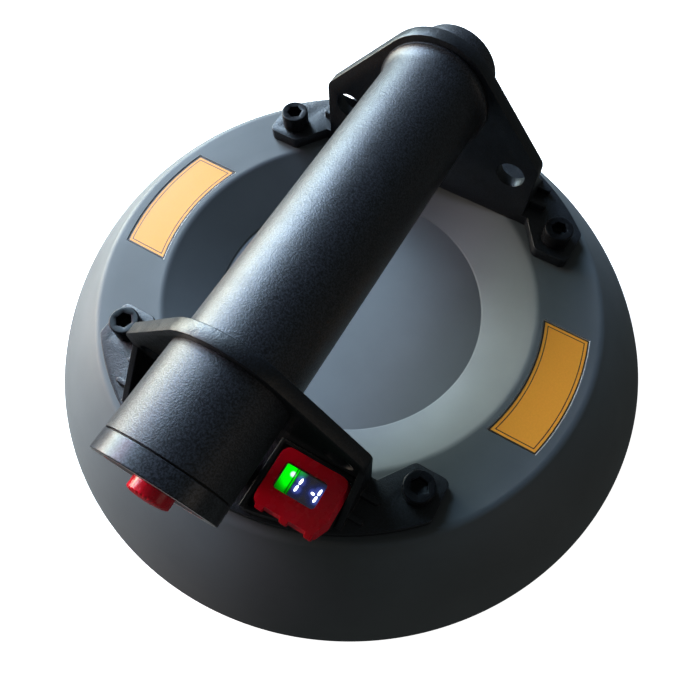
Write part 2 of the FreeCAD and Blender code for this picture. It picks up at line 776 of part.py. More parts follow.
def tube_port():
    """Fitting under the barrel, with a collar shaped to the barrel's outside."""
    collar = line_cyl(port_collar_r, collar_low, handle_z)
    collar = collar.cut(ycyl(barrel_r, line_y - 2 * port_collar_r, line_y + 2 * port_collar_r))
    top, tip = handle_z - valve_below_axis, collar_low - barb_len
    shank, barb = line_cyl(port_shank_r, collar_low, top), line_cyl(barb_r, tip, collar_low)
    return bored([collar, shank, barb], tip, top)


def vacuum_hose():
    low = plate_top + fitting_nut_h
    return line_cyl(barb_r + hose_wall, low, collar_low).cut(line_cyl(barb_r, low - over, collar_low + over))


# ---- display -------------------------------------------------------------------------------
def display_housing():
    """Open box on the foot: its front wall follows the foot's edge, its roof is the bezel."""
    left, right, wall = display_left, display_right, display_wall
    body = block(left, right, -display_front_r, display_rear, plate_top, bezel_top)
    inside = display_rear - display_rear_wall
    bezel_seat = block(left + wall, right + over, -display_front_r - over, inside, bezel_z, bezel_top + over)
    cavity = block(left + wall, right - wall, -display_front_r, inside, plate_top + display_floor, bezel_z)
    cavity = cavity.common(zcyl(display_front_r - wall, plate_top, bezel_z + over))
    body = body.common(zcyl(display_front_r, plate_top - over, bezel_top + over))
    body = body.cut(bezel_seat).cut(cavity).cut(bend_clearance())
    y0, y1 = board_span_y()
    floor = plate_top + display_floor
    shelves = [block(x, x + wall, y0, y1, floor, board_z) for x in (left + wall, window_x1)]
    return fuse([body] + shelves)


def bend_clearance():
    """Room for the bracket's inside bend along the housing's lower rear edge."""
    r = bend_r + display_clear
    return block(display_left - over, display_right + over, -(back + r), -back + over,
                 plate_top - over, plate_top + r)


def board_span_y():
    return window_y0 - light_clear, window_y1 + display_board_rear


def display_board():
    low, high = board_span_y()
    left = display_left + display_wall + display_board_clear
    return block(left, display_right - display_board_right, low, high, board_z, board_z + display_board_t)


def lit_block(x0, x1):
    """Block on the display board that stands up into the window's opening."""
    low = board_z + display_board_t
    return block(x0, x1, window_y0 + light_clear, window_y1 - light_clear, low, window_low)


def display_digits():
    return lit_block(window_x0 + light_w, window_x1 - light_clear)


def battery_light():
    return lit_block(window_x0 + light_clear, window_x0 + light_w)


def display_window():
    return rounded_plate(window_x0, window_x1, window_y0, window_y1, window_low, window_low + window_t,
                         window_round)


def display_bezel():
    x0 = display_left + bezel_setback
    body = rounded_plate(x0, display_right, bezel_front_y, bezel_rear_y, bezel_z, bezel_top, bezel_round)
    pitch = (display_right - x0 - 2 * bezel_lug_inset - bezel_lug_w) / (bezel_lugs - 1)
    lugs = []
    for i in range(bezel_lugs):
        x = x0 + bezel_lug_inset + i * pitch
        lugs.append(block(x, x + bezel_lug_w, bezel_front_y - bezel_lug_out, bezel_front_y + bezel_round,
                          bezel_z, bezel_top - bezel_lug_lip))
    opening = rounded_plate(window_x0, window_x1, window_y0, window_y1, bezel_z - over, bezel_top + over,
                            window_round)
    return fuse([body] + lugs).cut(opening)


NODES = [cup_pad, backing_ring, weld_nuts, sealing_ring, mounting_screws, front_bracket, rear_bracket,
         handle_tube, front_barrel, front_end_cap, indicator_ring, front_gasket, rear_end_cap,
         rear_gasket, charge_port, power_button, button_spring, button_switch, control_board,
         pressure_sensor, check_valve, pump_head, pump_motor, pump_crank, pump_mounts, battery_cell,
         battery_contacts, battery_holder, battery_leads, tie_screws, cup_port, port_nut, air_filter,
         tube_port, vacuum_hose, display_housing, display_board, display_digits, battery_light,
         display_window, display_bezel]

os.makedirs("parts", exist_ok=True)
for make in NODES:
    make().exportStep("parts/" + make.__name__ + ".step")
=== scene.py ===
import json
import math
from contextlib import contextmanager

import bmesh
import bpy
from mathutils import Matrix, Vector


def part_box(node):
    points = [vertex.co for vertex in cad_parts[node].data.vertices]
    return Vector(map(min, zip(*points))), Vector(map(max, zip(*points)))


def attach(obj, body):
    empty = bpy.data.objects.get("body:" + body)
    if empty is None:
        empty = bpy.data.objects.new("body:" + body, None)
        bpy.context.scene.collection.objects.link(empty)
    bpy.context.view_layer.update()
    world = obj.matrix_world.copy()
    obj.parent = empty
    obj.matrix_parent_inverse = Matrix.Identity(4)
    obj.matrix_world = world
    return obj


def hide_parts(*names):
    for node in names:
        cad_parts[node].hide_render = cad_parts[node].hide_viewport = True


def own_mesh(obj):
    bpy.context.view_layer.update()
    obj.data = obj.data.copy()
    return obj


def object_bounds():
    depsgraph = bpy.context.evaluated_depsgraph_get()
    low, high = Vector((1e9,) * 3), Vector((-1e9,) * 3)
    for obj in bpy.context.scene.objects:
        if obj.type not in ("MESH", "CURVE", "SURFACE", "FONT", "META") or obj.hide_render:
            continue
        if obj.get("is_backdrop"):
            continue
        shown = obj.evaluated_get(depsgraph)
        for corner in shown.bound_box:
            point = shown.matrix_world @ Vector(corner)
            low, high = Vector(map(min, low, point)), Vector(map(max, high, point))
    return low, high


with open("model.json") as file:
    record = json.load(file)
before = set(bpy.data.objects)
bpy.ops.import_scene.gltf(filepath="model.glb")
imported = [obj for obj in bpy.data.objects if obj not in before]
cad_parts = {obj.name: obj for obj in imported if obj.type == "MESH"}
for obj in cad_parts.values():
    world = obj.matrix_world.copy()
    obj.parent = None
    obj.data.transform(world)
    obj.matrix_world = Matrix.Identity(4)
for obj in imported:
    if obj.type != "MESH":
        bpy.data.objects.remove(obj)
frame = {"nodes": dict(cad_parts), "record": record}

bl_info = {
    "name": "Vacuum Cup Lifter",
    "version": (1, 0, 0),
    "blender": (4, 5, 0),
    "location": "3D View > Sidebar > Lifter",
    "description": "Builds the looks of a handheld vacuum cup lifter round its CAD frame",
    "category": "Add Mesh",
}

RECORD = frame["record"]
BODY_OF = {node: body for body, nodes in RECORD["behaviour"]["bodies"].items() for node in nodes}
MM = 0.001


# ---- places that the frame gives ----------------------------------------------------------------
def low(node):
    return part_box(node)[0]


def high(node):
    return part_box(node)[1]


def handle_axis():
    """Height of the handle's axis."""
    return (low("front_barrel").z + high("front_barrel").z) / 2


def ring_top():
    """Height of the cup's flat ring: the feet of the brackets stand on it."""
    return low("front_bracket").z


# ---- sizes and colours that a user would change -------------------------------------------------
def length(name, millimetres, text):
    return bpy.props.FloatProperty(name=name, default=millimetres * MM, description=text,
                                   unit="LENGTH", min=0.0, precision=5)


def count(name, default, text, lowest, highest):
    return bpy.props.IntProperty(name=name, default=default, description=text, min=lowest,
                                 max=highest)


def colour(name, default, text):
    return bpy.props.FloatVectorProperty(name=name, default=default, description=text,
                                         subtype="COLOR", size=3, min=0.0, max=1.0)


class LifterSizes(bpy.types.PropertyGroup):
    round_steps: count("Segments", 192, "Sides of every turned piece", 24, 720)
    ring_out: length("Ring outer radius", 88.5, "Outer radius of the cup's flat ring")
    ring_in: length("Ring inner radius", 66.0, "Inner radius of the cup's flat ring")
    dish_r: length("Disc radius", 48.6, "Radius of the disc in the cup's middle")
    dish_drop: length("Disc depth", 10.8, "How far the slope ends below the flat ring")
    dish_step: length("Disc step", 0.5, "Small step between the slope and the disc")
    cup_wall: length("Cup wall", 10.0, "Thickness under the flat ring")
    skirt_bow: length("Skirt bow", 2.2, "How far the skirt bulges out")
    seal_w: length("Seal width", 9.6, "Width of the groove in the rim's underside")
    crest_round: length("Crest round", 3.5, "Radius of the flat ring's outer and inner edges")
    rubber_round: length("Rubber round", 0.6, "Radius of the cup's small edges")
    bracket_edge: length("Bracket edge", 0.35, "Rounding of the brackets' edges")
    turned_edge: length("Turned edge", 0.35, "Rounding of the turned pieces' edges")
    groove_lip: length("Groove lip", 0.3, "How far barrel and cap close in over the gasket")
    bezel_edge: length("Bezel edge", 0.42, "Rounding of the display bezel's edges")
    bezel_slope: length("Bezel slope", 1.9, "Height of the bezel's sloped bands")
    bezel_band: length("Bezel band", 1.0, "Width of that band in plan")
    bezel_lean: length("Bezel corner", 4.6, "Length of the bezel's slanted front right corner")
    housing_edge: length("Housing edge", 0.3, "Rounding of the display housing's edges")
    label_half: length("Pocket half length", 22.9, "Half the length of a label's pocket")
    label_in: length("Pocket inner radius", 68.5, "Inner radius of a label's pocket")
    label_out: length("Pocket outer radius", 84.5, "Outer radius of a label's pocket")
    label_border: length("Label margin", 1.5, "From the pocket's edge to the dark line")
    label_line: length("Label line", 0.34, "Width of the dark line round the plate")
    label_gap: length("Label gap", 0.15, "Gap between the plate and its pocket")
    label_edge: length("Label edge", 0.5, "Width of the plate's dark outer edge")
    label_sunk: length("Label depth", 0.25, "How far the plate lies below the ring's face")
    pocket_depth: length("Pocket depth", 0.75, "Depth of the pocket under a label plate")
    pocket_round: length("Pocket edge", 0.32, "Rounding of the pockets' edges")
    button_crown: length("Button crown", 1.1, "Height of the button's domed front")
    button_short: length("Button set back", 1.2, "How far the tip stays behind its solid's")
    flutes: count("Button flutes", 26, "Grooves round the power button", 8, 60)
    flute_depth: length("Flute depth", 0.45, "Depth of the grooves in the button's front rim")
    bezel_round: length("Bezel corners", 3.0, "Corner radius of the display bezel")
    lug_w: length("Lug width", 2.5, "Width of each lug on the bezel's front edge")
    lug_out: length("Lug reach", 1.6, "From a lug's tip back to the edge of the bezel's face")
    lug_tip: length("Lug reach past the band", 0.8, "How far a lug stands out of the band")
    lug_first: length("First lug", 3.1, "From the bezel's left side to its first lug's middle")
    lug_pitch: length("Lug pitch", 8.2, "From one lug to the next")
    lug_round: length("Lug corners", 0.6, "Corner radius of a lug's tip")
    window_round: length("Window corners", 1.3, "Corner radius of the bezel's opening")
    segment_w: length("Segment width", 0.78, "Width of one lit digit segment")
    segment_l: length("Segment length", 2.15, "Length of one lit digit segment")
    digit_first: length("First digit", 1.6, "From the screen's left side to a lit column")
    digit_pitch: length("Digit pitch", 6.4, "From one digit's lit column to the next")
    screw_head: length("Screw head radius", 5.0, "Radius of a cup screw's head")
    screw_head_h: length("Screw head height", 6.0, "Height of a cup screw's head")
    screw_shank: length("Screw shank radius", 2.95, "Radius of a cup screw's shank")
    socket_flat: length("Socket", 2.5, "From a socket's middle to its flats")
    socket_deep: length("Socket depth", 3.4, "Depth of a socket's straight walls")
    tube_bore: length("Tube bore", 16.0, "Bore radius of handle tube and front barrel")
    flare_rise: length("Flare rise", 1.6, "How far the tube opens out at the rear bracket")
    flare_l: length("Flare length", 5.0, "Length over which the tube opens out")
    flange_out: length("Button flange", 1.3, "How far the button's hidden flange stands out")
    flange_t: length("Flange thickness", 1.45, "Thickness of the button's flange")
    flange_back: length("Flange place", 8.45, "From the button's tip to its flange")
    ring_w: length("Red ring width", 0.7, "Width of the groove for the red ring")


class LifterColours(bpy.types.PropertyGroup):
    rubber: colour("Cup rubber", (0.102, 0.113, 0.121), "Moulded grey rubber of the cup")
    powder: colour("Bracket powder coat", (0.0055, 0.0068, 0.0095), "Satin black of the brackets")
    anodised: colour("Handle anodising", (0.020, 0.022, 0.027), "Blasted and anodised handle")
    oxide: colour("Black oxide", (0.007, 0.0075, 0.009), "Screws")
    signal_red: colour("Signal red", (0.86, 0.002, 0.024), "Button and display bezel")
    # a lighter red for the bezel's rounded edges: a painted highlight
    edge_red: colour("Red edges", (1.0, 0.085, 0.10), "Rounded edges of the display bezel")
    # cap rim: partly a machined finish, partly a painted highlight
    rim_metal_and_highlight: colour("Cap rim", (0.5, 0.56, 0.62), "Bright machined front rim of the end cap")
    label_ground: colour("Label ground", (0.85, 0.32, 0.03), "Plain plates on the cup")
    label_dark: colour("Label line", (0.035, 0.022, 0.015), "Line round the plates")
    green_glow: colour("Battery light", (0.0, 1.0, 0.002), "Lit battery light")
    digit_glow: colour("Digit light", (0.80, 0.86, 1.0), "Lit digit segments")
    digit_halo: colour("Digit halo", (0.10, 0.14, 0.62), "Glow beside the lit segments")
    floor: colour("Floor", (0.93, 0.93, 0.93), "Studio floor")


def sizes():
    return bpy.context.scene.lifter_sizes


def colours():
    return bpy.context.scene.lifter_colours


# ---- nodes --------------------------------------------------------------------------------------
class Wiring:
    """Short calls that add nodes to a tree of either kind."""

    def __init__(self, tree):
        self.tree = tree

    def node(self, kind, *sources, **settings):
        """New node with these settings; each source is (input, value or socket to link)."""
        made = self.tree.nodes.new(kind)
        for key, value in settings.items():
            setattr(made, key, value)
        for place, source in sources:
            if isinstance(source, bpy.types.NodeSocket):
                self.tree.links.new(source, made.inputs[place])
            else:
                made.inputs[place].default_value = source
        return made

    def math(self, operation, *values):
        return self.node("ShaderNodeMath", *enumerate(values), operation=operation).outputs[0]

    def vector_math(self, operation, *values, output="Vector"):
        made = self.node("ShaderNodeVectorMath", *enumerate(values), operation=operation)
        return made.outputs[output]


# ---- materials ----------------------------------------------------------------------------------
class Finish(Wiring):
    """A material under construction: its nodes, its shader and its object coordinates."""

    def __init__(self, name, base, roughness, metallic=0.0, specular=0.5):
        self.material = bpy.data.materials.new(name)
        self.material.use_nodes = True
        super().__init__(self.material.node_tree)
        self.shader = self.tree.nodes["Principled BSDF"]
        self.base = base
        self.set("Base Color", (*base, 1.0))
        self.set("Roughness", roughness)
        self.set("Metallic", metallic)
        self.set("Specular IOR Level", specular)
        self.place = self.node("ShaderNodeTexCoord").outputs["Object"]
        self.normal = None

    def set(self, socket, value):
        self.shader.inputs[socket].default_value = value

    def steer(self, socket, source):
        """Let a colour or a value from a node steer one of the shader's sockets."""
        self.tree.links.new(source, self.shader.inputs[socket])

    def noise(self, scale, detail=3.0, roughness=0.5, stretch=None):
        source = self.place
        if stretch:
            mapping = self.node("ShaderNodeMapping", ("Scale", stretch), ("Vector", source))
            source = mapping.outputs["Vector"]
        node = self.node("ShaderNodeTexNoise", ("Scale", scale), ("Detail", detail),
                         ("Roughness", roughness), ("Vector", source))
        return node.outputs["Fac"]

    def speckle(self, scale):
        node = self.node("ShaderNodeTexVoronoi", ("Scale", scale), ("Vector", self.place))
        return node.outputs["Distance"]

    def ramp(self, source, *stops):
        """Colour or brightness along a source; each stop is (place, colour or brightness)."""
        node = self.node("ShaderNodeValToRGB", ("Fac", source))
        elements = node.color_ramp.elements
        while len(elements) < len(stops):
            elements.new(0.5)
        for element, (at, tone) in zip(elements, stops):
            element.position = at
            element.color = (*((tone,) * 3 if isinstance(tone, float) else tone), 1.0)
        return node.outputs["Color"]

    def vary(self, socket, source, *stops):
        """Let a pattern steer one of the shader's sockets."""
        self.steer(socket, self.ramp(source, *stops))

    def tone(self, source, *stops):
        """Let a pattern vary the base colour; each stop is (place, share of that colour)."""
        self.vary("Base Color", source, *((at, shade(self.base, share)) for at, share in stops))

    def rough(self, source, least, most):
        """Let a pattern vary the roughness between these."""
        self.vary("Roughness", source, (0.3, least), (0.7, most))

    def bump(self, source, strength, distance):
        """Small relief over the whole piece, on top of any that it has."""
        node = self.node("ShaderNodeBump", ("Strength", strength), ("Distance", distance),
                         ("Height", source))
        if self.normal:
            self.tree.links.new(self.normal, node.inputs["Normal"])
        self.normal = node.outputs["Normal"]
        self.steer("Normal", self.normal)

    def from_axis(self):
        """Distance from the Z axis."""
        flat = self.vector_math("MULTIPLY", self.place, (1.0, 1.0, 0.0))
        return self.vector_math("LENGTH", flat, output="Value")

    def along(self, axis):
        return self.node("ShaderNodeSeparateXYZ", ("Vector", self.place)).outputs[axis]

    def share(self, source, start, end):
        """0 where the source is at start, 1 where it is at end."""
        node = self.node("ShaderNodeMapRange", ("From Min", start), ("From Max", end),
                         ("Value", source))
        return node.outputs["Result"]

    def mix(self, kind, first, second):
        """Two colours added or multiplied; a Mix node keeps its colour sockets at 6, 7 and 2."""
        node = self.node("ShaderNodeMix", data_type="RGBA", blend_type=kind)
        node.inputs["Factor"].default_value = 1.0
        self.tree.links.new(first, node.inputs[6])
        self.tree.links.new(second, node.inputs[7])
        return node.outputs[2]

    def done(self):
        return self.material


def shade(base, factor):
    return tuple(min(1.0, c * factor) for c in base)


def cup_rubber():
    """Matte moulded rubber, with painted shade that darkens the flat ring."""
    base, s = colours().rubber, sizes()
    f = Finish("cup_rubber", base, 0.55, specular=0.3)
    marks = f.ramp(f.noise(38.0, 5.0, 0.6), (0.3, shade(base, 0.93)), (0.7, shade(base, 1.07)))
    # painted shade: the flat ring is darkened to this share of the rubber's colour, fading in over
    # its rounded edges
    reach, painted_ring_shade = s.crest_round, 0.76
    edge = 2 * reach / (s.ring_out - s.ring_in)
    ring = f.ramp(f.share(f.from_axis(), s.ring_in - reach, s.ring_out + reach),
                  (0.0, 1.0), (edge, painted_ring_shade), (1.0 - edge, painted_ring_shade), (1.0, 1.0))
    f.steer("Base Color", f.mix("MULTIPLY", marks, ring))
    f.rough(f.noise(60.0, 4.0), 0.5, 0.6)
    f.bump(f.noise(2600.0, 2.0), 0.05, 0.2 * MM)
    f.bump(f.noise(55.0, 3.0), 0.03, 0.6 * MM)
    f.set("Sheen Weight", 0.05)
    f.set("Sheen Roughness", 0.45)
    return f.done()


def seal_foam():
    """Fine open foam of the sealing ring."""
    f = Finish("seal_foam", (0.02, 0.02, 0.021), 0.9, specular=0.2)
    f.vary("Base Color", f.speckle(1400.0), (0.0, 0.004), (0.6, 0.035))
    f.bump(f.speckle(1400.0), 0.5, 0.4 * MM)
    return f.done()


def blasted_anodised(name, base, grain, roughness):
    """Bead blasted aluminium, dyed black: every tiny facet catches the light by itself."""
    f = Finish(name, base, roughness, metallic=0.25, specular=0.5)
    f.tone(f.noise(2000.0, 2.0, 0.7), (0.4, 0.45), (0.62, 2.2))
    f.rough(f.noise(140.0, 3.0), roughness - 0.03, roughness + 0.04)
    f.bump(f.noise(2000.0, 2.0, 0.7), grain, 0.18 * MM)
    return f.done()


def satin_powder():
    """Powder coat: satin black with a slight orange peel."""
    f = Finish("satin_powder", colours().powder, 0.42, specular=0.42)
    f.tone(f.noise(2000.0, 2.0, 0.7), (0.4, 0.6), (0.64, 1.9))
    f.rough(f.noise(220.0, 3.0), 0.34, 0.44)
    f.bump(f.noise(2000.0, 2.0, 0.7), 0.55, 0.16 * MM)
    f.bump(f.noise(520.0, 4.0, 0.65), 0.28, 0.4 * MM)
    return f.done()


def black_oxide():
    """Oiled black oxide of the screws."""
    f = Finish("black_oxide", colours().oxide, 0.26, specular=0.12)
    f.tone(f.noise(420.0, 4.0), (0.3, 0.7), (0.75, 1.6))
    f.rough(f.noise(260.0, 3.0), 0.22, 0.36)
    return f.done()


def gloss_red(name, base, glow):
    """Glossy red moulded plastic; glow is the share of light that passes under its skin."""
    f = Finish(name, base, 0.26, specular=0.4)
    f.tone(f.noise(90.0, 2.0), (0.3, 0.9), (0.7, 1.0))
    f.rough(f.noise(320.0, 3.0), 0.2, 0.32)
    f.bump(f.noise(700.0, 2.0), 0.02, 0.2 * MM)
    f.set("Subsurface Weight", glow)
    f.set("Subsurface Radius", (0.004, 0.0004, 0.0004))
    f.set("Subsurface Scale", 0.5)
    return f.done()


def matte_black_plastic():
    f = Finish("matte_black_plastic", (0.009, 0.009, 0.011), 0.5, specular=0.35)
    f.rough(f.noise(300.0, 3.0), 0.44, 0.56)
    f.bump(f.noise(1900.0, 2.0), 0.1, 0.3 * MM)
    return f.done()


def black_rubber():
    f = Finish("black_rubber", (0.013, 0.013, 0.013), 0.6, specular=0.35)
    f.vary("Base Color", f.noise(200.0), (0.3, 0.009), (0.7, 0.018))
    f.bump(f.noise(1200.0, 2.0), 0.08, 0.3 * MM)
    return f.done()


def metal(name, base, roughness, stretch):
    """Bare metal with fine turning or rolling lines."""
    f = Finish(name, base, roughness, metallic=1.0)
    f.tone(f.noise(60.0, 3.0), (0.3, 0.88), (0.7, 1.05))
    lines = f.noise(900.0, 2.0, 0.5, stretch)
    f.rough(lines, roughness - 0.05, roughness + 0.08)
    f.bump(lines, 0.06, 0.2 * MM)
    return f.done()


def bright_steel(name):
    return metal(name, (0.5, 0.5, 0.52), 0.3, (1, 1, 1))


def board_mask():
    """Green solder mask of the circuit boards."""
    f = Finish("board_mask", (0.012, 0.11, 0.04), 0.35)
    f.vary("Base Color", f.speckle(320.0), (0.25, (0.01, 0.07, 0.03)), (0.6, (0.02, 0.16, 0.06)))
    f.set("Coat Weight", 0.4)
    return f.done()


def cell_sleeve():
    """Shrunk blue sleeve of the battery cell."""
    f = Finish("cell_sleeve", (0.03, 0.12, 0.3), 0.3)
    f.rough(f.noise(300.0), 0.25, 0.4)
    return f.done()


def wire_red():
    f = Finish("wire_red", (0.35, 0.01, 0.01), 0.45)
    f.vary("Base Color", f.noise(400.0), (0.3, (0.3, 0.01, 0.01)), (0.7, (0.4, 0.015, 0.012)))
    return f.done()


def label_plate(name, base):
    """Printed plate with a satin laminate; the print varies a little in density."""
    f = Finish(name, base, 0.45, specular=0.3)
    f.tone(f.noise(1500.0, 2.0), (0.3, 0.97), (0.7, 1.03))
    f.rough(f.noise(500.0, 2.0), 0.4, 0.5)
    return f.done()


def clear_lens():
    f = Finish("clear_lens", (0.86, 0.9, 0.94), 0.06)
    f.set("Transmission Weight", 1.0)
    f.set("IOR", 1.33)
    f.rough(f.noise(90.0), 0.03, 0.08)
    return f.done()


class Glow(Finish):
    """Lit plastic: its glow falls off from the places where its lamps sit."""

    def distance(self, places):
        """Distance to the nearest of these places."""
        nearest = None
        for place in places:
            here = self.vector_math("DISTANCE", self.place, place, output="Value")
            nearest = self.math("MINIMUM", nearest, here) if nearest else here
        return nearest

    def shine(self, source, strength):
        """Finished material that gives off the source's colour."""
        self.steer("Emission Color", source)
        self.set("Emission Strength", strength)
        return self.done()


# ---- meshes -------------------------------------------------------------------------------------
def new_object(name, mesh):
    obj = bpy.data.objects.new(name, mesh)
    bpy.context.scene.collection.objects.link(obj)
    return obj


@contextmanager
def edited(mesh):
    """The mesh's shape, open for changes that are written back at the end."""
    shape = bmesh.new()
    shape.from_mesh(mesh)
    yield shape
    shape.to_mesh(mesh)
    shape.free()


def plain_mesh(obj, name):
    """The object's evaluated shape as a mesh without modifiers."""
    shape = obj.evaluated_get(bpy.context.evaluated_depsgraph_get())
    mesh = bpy.data.meshes.new_from_object(shape)
    mesh.name = name
    obj.modifiers.clear()
    obj.data = mesh
    return obj


def clean_copy(node, name):
    """Copy of a CAD node with its loose triangles joined and its flat faces whole."""
    obj = new_object(name, frame["nodes"][node].data.copy())
    obj.data.materials.clear()
    same_place, flat_within = 2e-6, math.radians(0.4)
    with edited(obj.data) as shape:
        bmesh.ops.remove_doubles(shape, verts=shape.verts, dist=same_place)
        bmesh.ops.dissolve_limit(shape, angle_limit=flat_within, verts=shape.verts,
                                 edges=shape.edges)
        for face in shape.faces:
            face.smooth = True
    return obj


def soften(obj, width, steps=3, sharp_deg=28.0, material=-1):
    """Round an object's edges, as a bevel that keeps the flats flat.

    The rounded edges keep the flats' material unless another of the object's materials is named.
    """
    bevel = obj.modifiers.new("edges", "BEVEL")
    bevel.width = width
    bevel.segments = steps
    bevel.limit_method = "ANGLE"
    bevel.angle_limit = math.radians(sharp_deg)
    bevel.harden_normals = True
    bevel.material = material
    bevel.use_clamp_overlap = True
    return plain_mesh(obj, obj.name)


def combine(obj, tool, operation="DIFFERENCE"):
    """Take the tool's shape out of an object, or join it on, and drop the tool."""
    cut = obj.modifiers.new("combine", "BOOLEAN")
    cut.operation, cut.solver, cut.object = operation, "EXACT", tool
    plain_mesh(obj, obj.name)
    bpy.data.objects.remove(tool)
    return obj


def crisp(obj, sharp_deg=32.0):
    """Smooth shading everywhere but over the real corners."""
    obj.data.shade_smooth()
    obj.data.set_sharp_from_angle(angle=math.radians(sharp_deg))
    return obj


def finish_piece(obj, material, slot, *nodes, rides=None):
    """Dress a piece that stands for these nodes, or that only rides with one."""
    if material:
        obj.data.materials.clear()
        obj.data.materials.append(material)
    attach(obj, BODY_OF[rides or nodes[0]])
    if nodes:
        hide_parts(*nodes)
    return obj


def paint(material, *nodes):
    """Give CAD nodes their finish."""
    for node in nodes:
        for slot in frame["nodes"][node].material_slots:
            slot.material = material


def unlit_surroundings(obj):
    """Keep a lit piece's glow off its surroundings, as in a bright room."""
    obj.visible_diffuse = obj.visible_glossy = False
    return obj


def loft(name, *levels):
    """Solid through closed outlines with the same number of points, each with its height.

    The outlines are points (x, y) and run anticlockwise.
    """
    mesh = bpy.data.meshes.new(name)
    with edited(mesh) as shape:
        loops = [[shape.verts.new((x, y, z)) for x, y in outline] for outline, z in levels]
        shape.faces.new(list(reversed(loops[0])))
        shape.faces.new(loops[-1])
        for lower, upper in zip(loops, loops[1:]):
            for i in range(len(lower)):
                j = (i + 1) % len(lower)
                shape.faces.new((lower[i], lower[j], upper[j], upper[i]))
    return new_object(name, mesh)


def flat_prism(name, outline, z0, z1):
    """Upright prism over a closed outline."""
    return loft(name, (outline, z0), (outline, z1))


def node_prism(name, node, drop=0.0):
    """Upright block that fills a node's box, lower at the top by the drop."""
    lo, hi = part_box(node)
    outline = [(lo.x, lo.y), (hi.x, lo.y), (hi.x, hi.y), (lo.x, hi.y)]
    return flat_prism(name, outline, lo.z, hi.z - drop)


def arc(centre, start, sweep, steps):
    """Points round a centre, from start and through the sweep."""
    return [centre + Matrix.Rotation(-sweep * k / steps, 2) @ start for k in range(steps + 1)]


def bow(p, q, out):
    """Points of the arc from p to q whose middle stands off the straight line by out."""
    p, q = Vector(p), Vector(q)
    chord = q - p
    half = chord.length / 2
    radius = (half * half + out * out) / (2 * out)
    side = Vector((chord.y, -chord.x)).normalized()
    centre = (p + q) / 2 + side * (out - radius)
    start = p - centre
    return [tuple(point) for point in arc(centre, start, start.angle_signed(q - centre), 12)]


def rounded(outline, steps=5, support=0.2 * MM):
    """Outline with its corners rounded.

    Each corner is (radius, height, round) with an optional dict of attributes. Beside each round
    lies a support point, so that smooth shading keeps the flats flat.
    """
    made = []
    for i, (r, h, size, *extra) in enumerate(outline):
        marks = extra[0] if extra else {}
        here = Vector((r, h))
        if size <= 0 or i in (0, len(outline) - 1):
            made.append((here, marks))
            continue
        before, after = Vector(outline[i - 1][:2]) - here, Vector(outline[i + 1][:2]) - here
        half = before.angle(after) / 2
        cut = min(size / math.tan(half), before.length * 0.49, after.length * 0.49)
        size = cut * math.tan(half)
        back, on = before.normalized(), after.normalized()
        start, end = here + back * cut, here + on * cut
        centre = here + (back + on).normalized() * (size / math.sin(half))
        ease = min(cut * 0.3, support)
        if ease:
            made.append((start + back * min(ease, before.length - cut), marks))
        spoke = start - centre
        sweep = spoke.angle_signed(end - centre)
        made += [(point, marks) for point in arc(centre, spoke, sweep, steps)]
        if ease:
            made.append((end + on * min(ease, after.length - cut), marks))
    return made


def plan(corners):
    """Closed outline in plan with rounded corners; it starts and ends in the middle of a side."""
    return [(p.x, p.y) for p, _ in rounded(corners, steps=8, support=0.0)][:-1]


def label_outline(side, inset):
    """Outline of a label's pocket, drawn in by the inset, anticlockwise."""
    s = sizes()
    half = s.label_half - inset
    inner, outer = s.label_in + inset, s.label_out - inset
    steps = [half * (2 * k / 16 - 1) for k in range(17)]
    far = [(math.sqrt(outer ** 2 - y * y), y) for y in steps]
    near = [(math.sqrt(inner ** 2 - y * y), y) for y in reversed(steps)]
    return [(side * x, side * y) for x, y in far + near]


# ---- node trees ---------------------------------------------------------------------------------
class PieceTree(Wiring):
    """Geometry node tree with named inputs, given as {name: (socket type, default)}."""

    def __init__(self, name, inputs):
        super().__init__(bpy.data.node_groups.new(name, "GeometryNodeTree"))
        face = self.tree.interface
        for way in ("INPUT", "OUTPUT"):
            face.new_socket("Geometry", in_out=way, socket_type="NodeSocketGeometry")
        for label, (kind, default) in inputs.items():
            socket = face.new_socket(label, in_out="INPUT", socket_type="NodeSocket" + kind)
            if default is not None:
                socket.default_value = default
        self.given = self.node("NodeGroupInput").outputs
        self.result = self.node("NodeGroupOutput").inputs["Geometry"]

    def split(self, vector):
        return self.node("ShaderNodeSeparateXYZ", ("Vector", vector)).outputs

    def join(self, **parts):
        made = self.node("ShaderNodeCombineXYZ", *((key.upper(), v) for key, v in parts.items()))
        return made.outputs["Vector"]

    def position(self):
        return self.node("GeometryNodeInputPosition").outputs["Position"]

    def sample(self, points, field, index, kind="FLOAT"):
        made = self.node("GeometryNodeSampleIndex", ("Geometry", points), ("Value", field),
                         ("Index", index), data_type=kind, domain="POINT")
        return made.outputs["Value"]

    def attribute(self, name):
        made = self.node("GeometryNodeInputNamedAttribute", ("Name", name), data_type="FLOAT")
        return made.outputs["Attribute"]

    def finish(self, geometry):
        """Every tree ends the same way: real geometry with its material set."""
        real = self.node("GeometryNodeRealizeInstances", ("Geometry", geometry))
        dressed = self.node("GeometryNodeSetMaterial", ("Geometry", real.outputs["Geometry"]),
                            ("Material", self.given["Material"]))
        self.tree.links.new(dressed.outputs["Geometry"], self.result)
        return self.tree


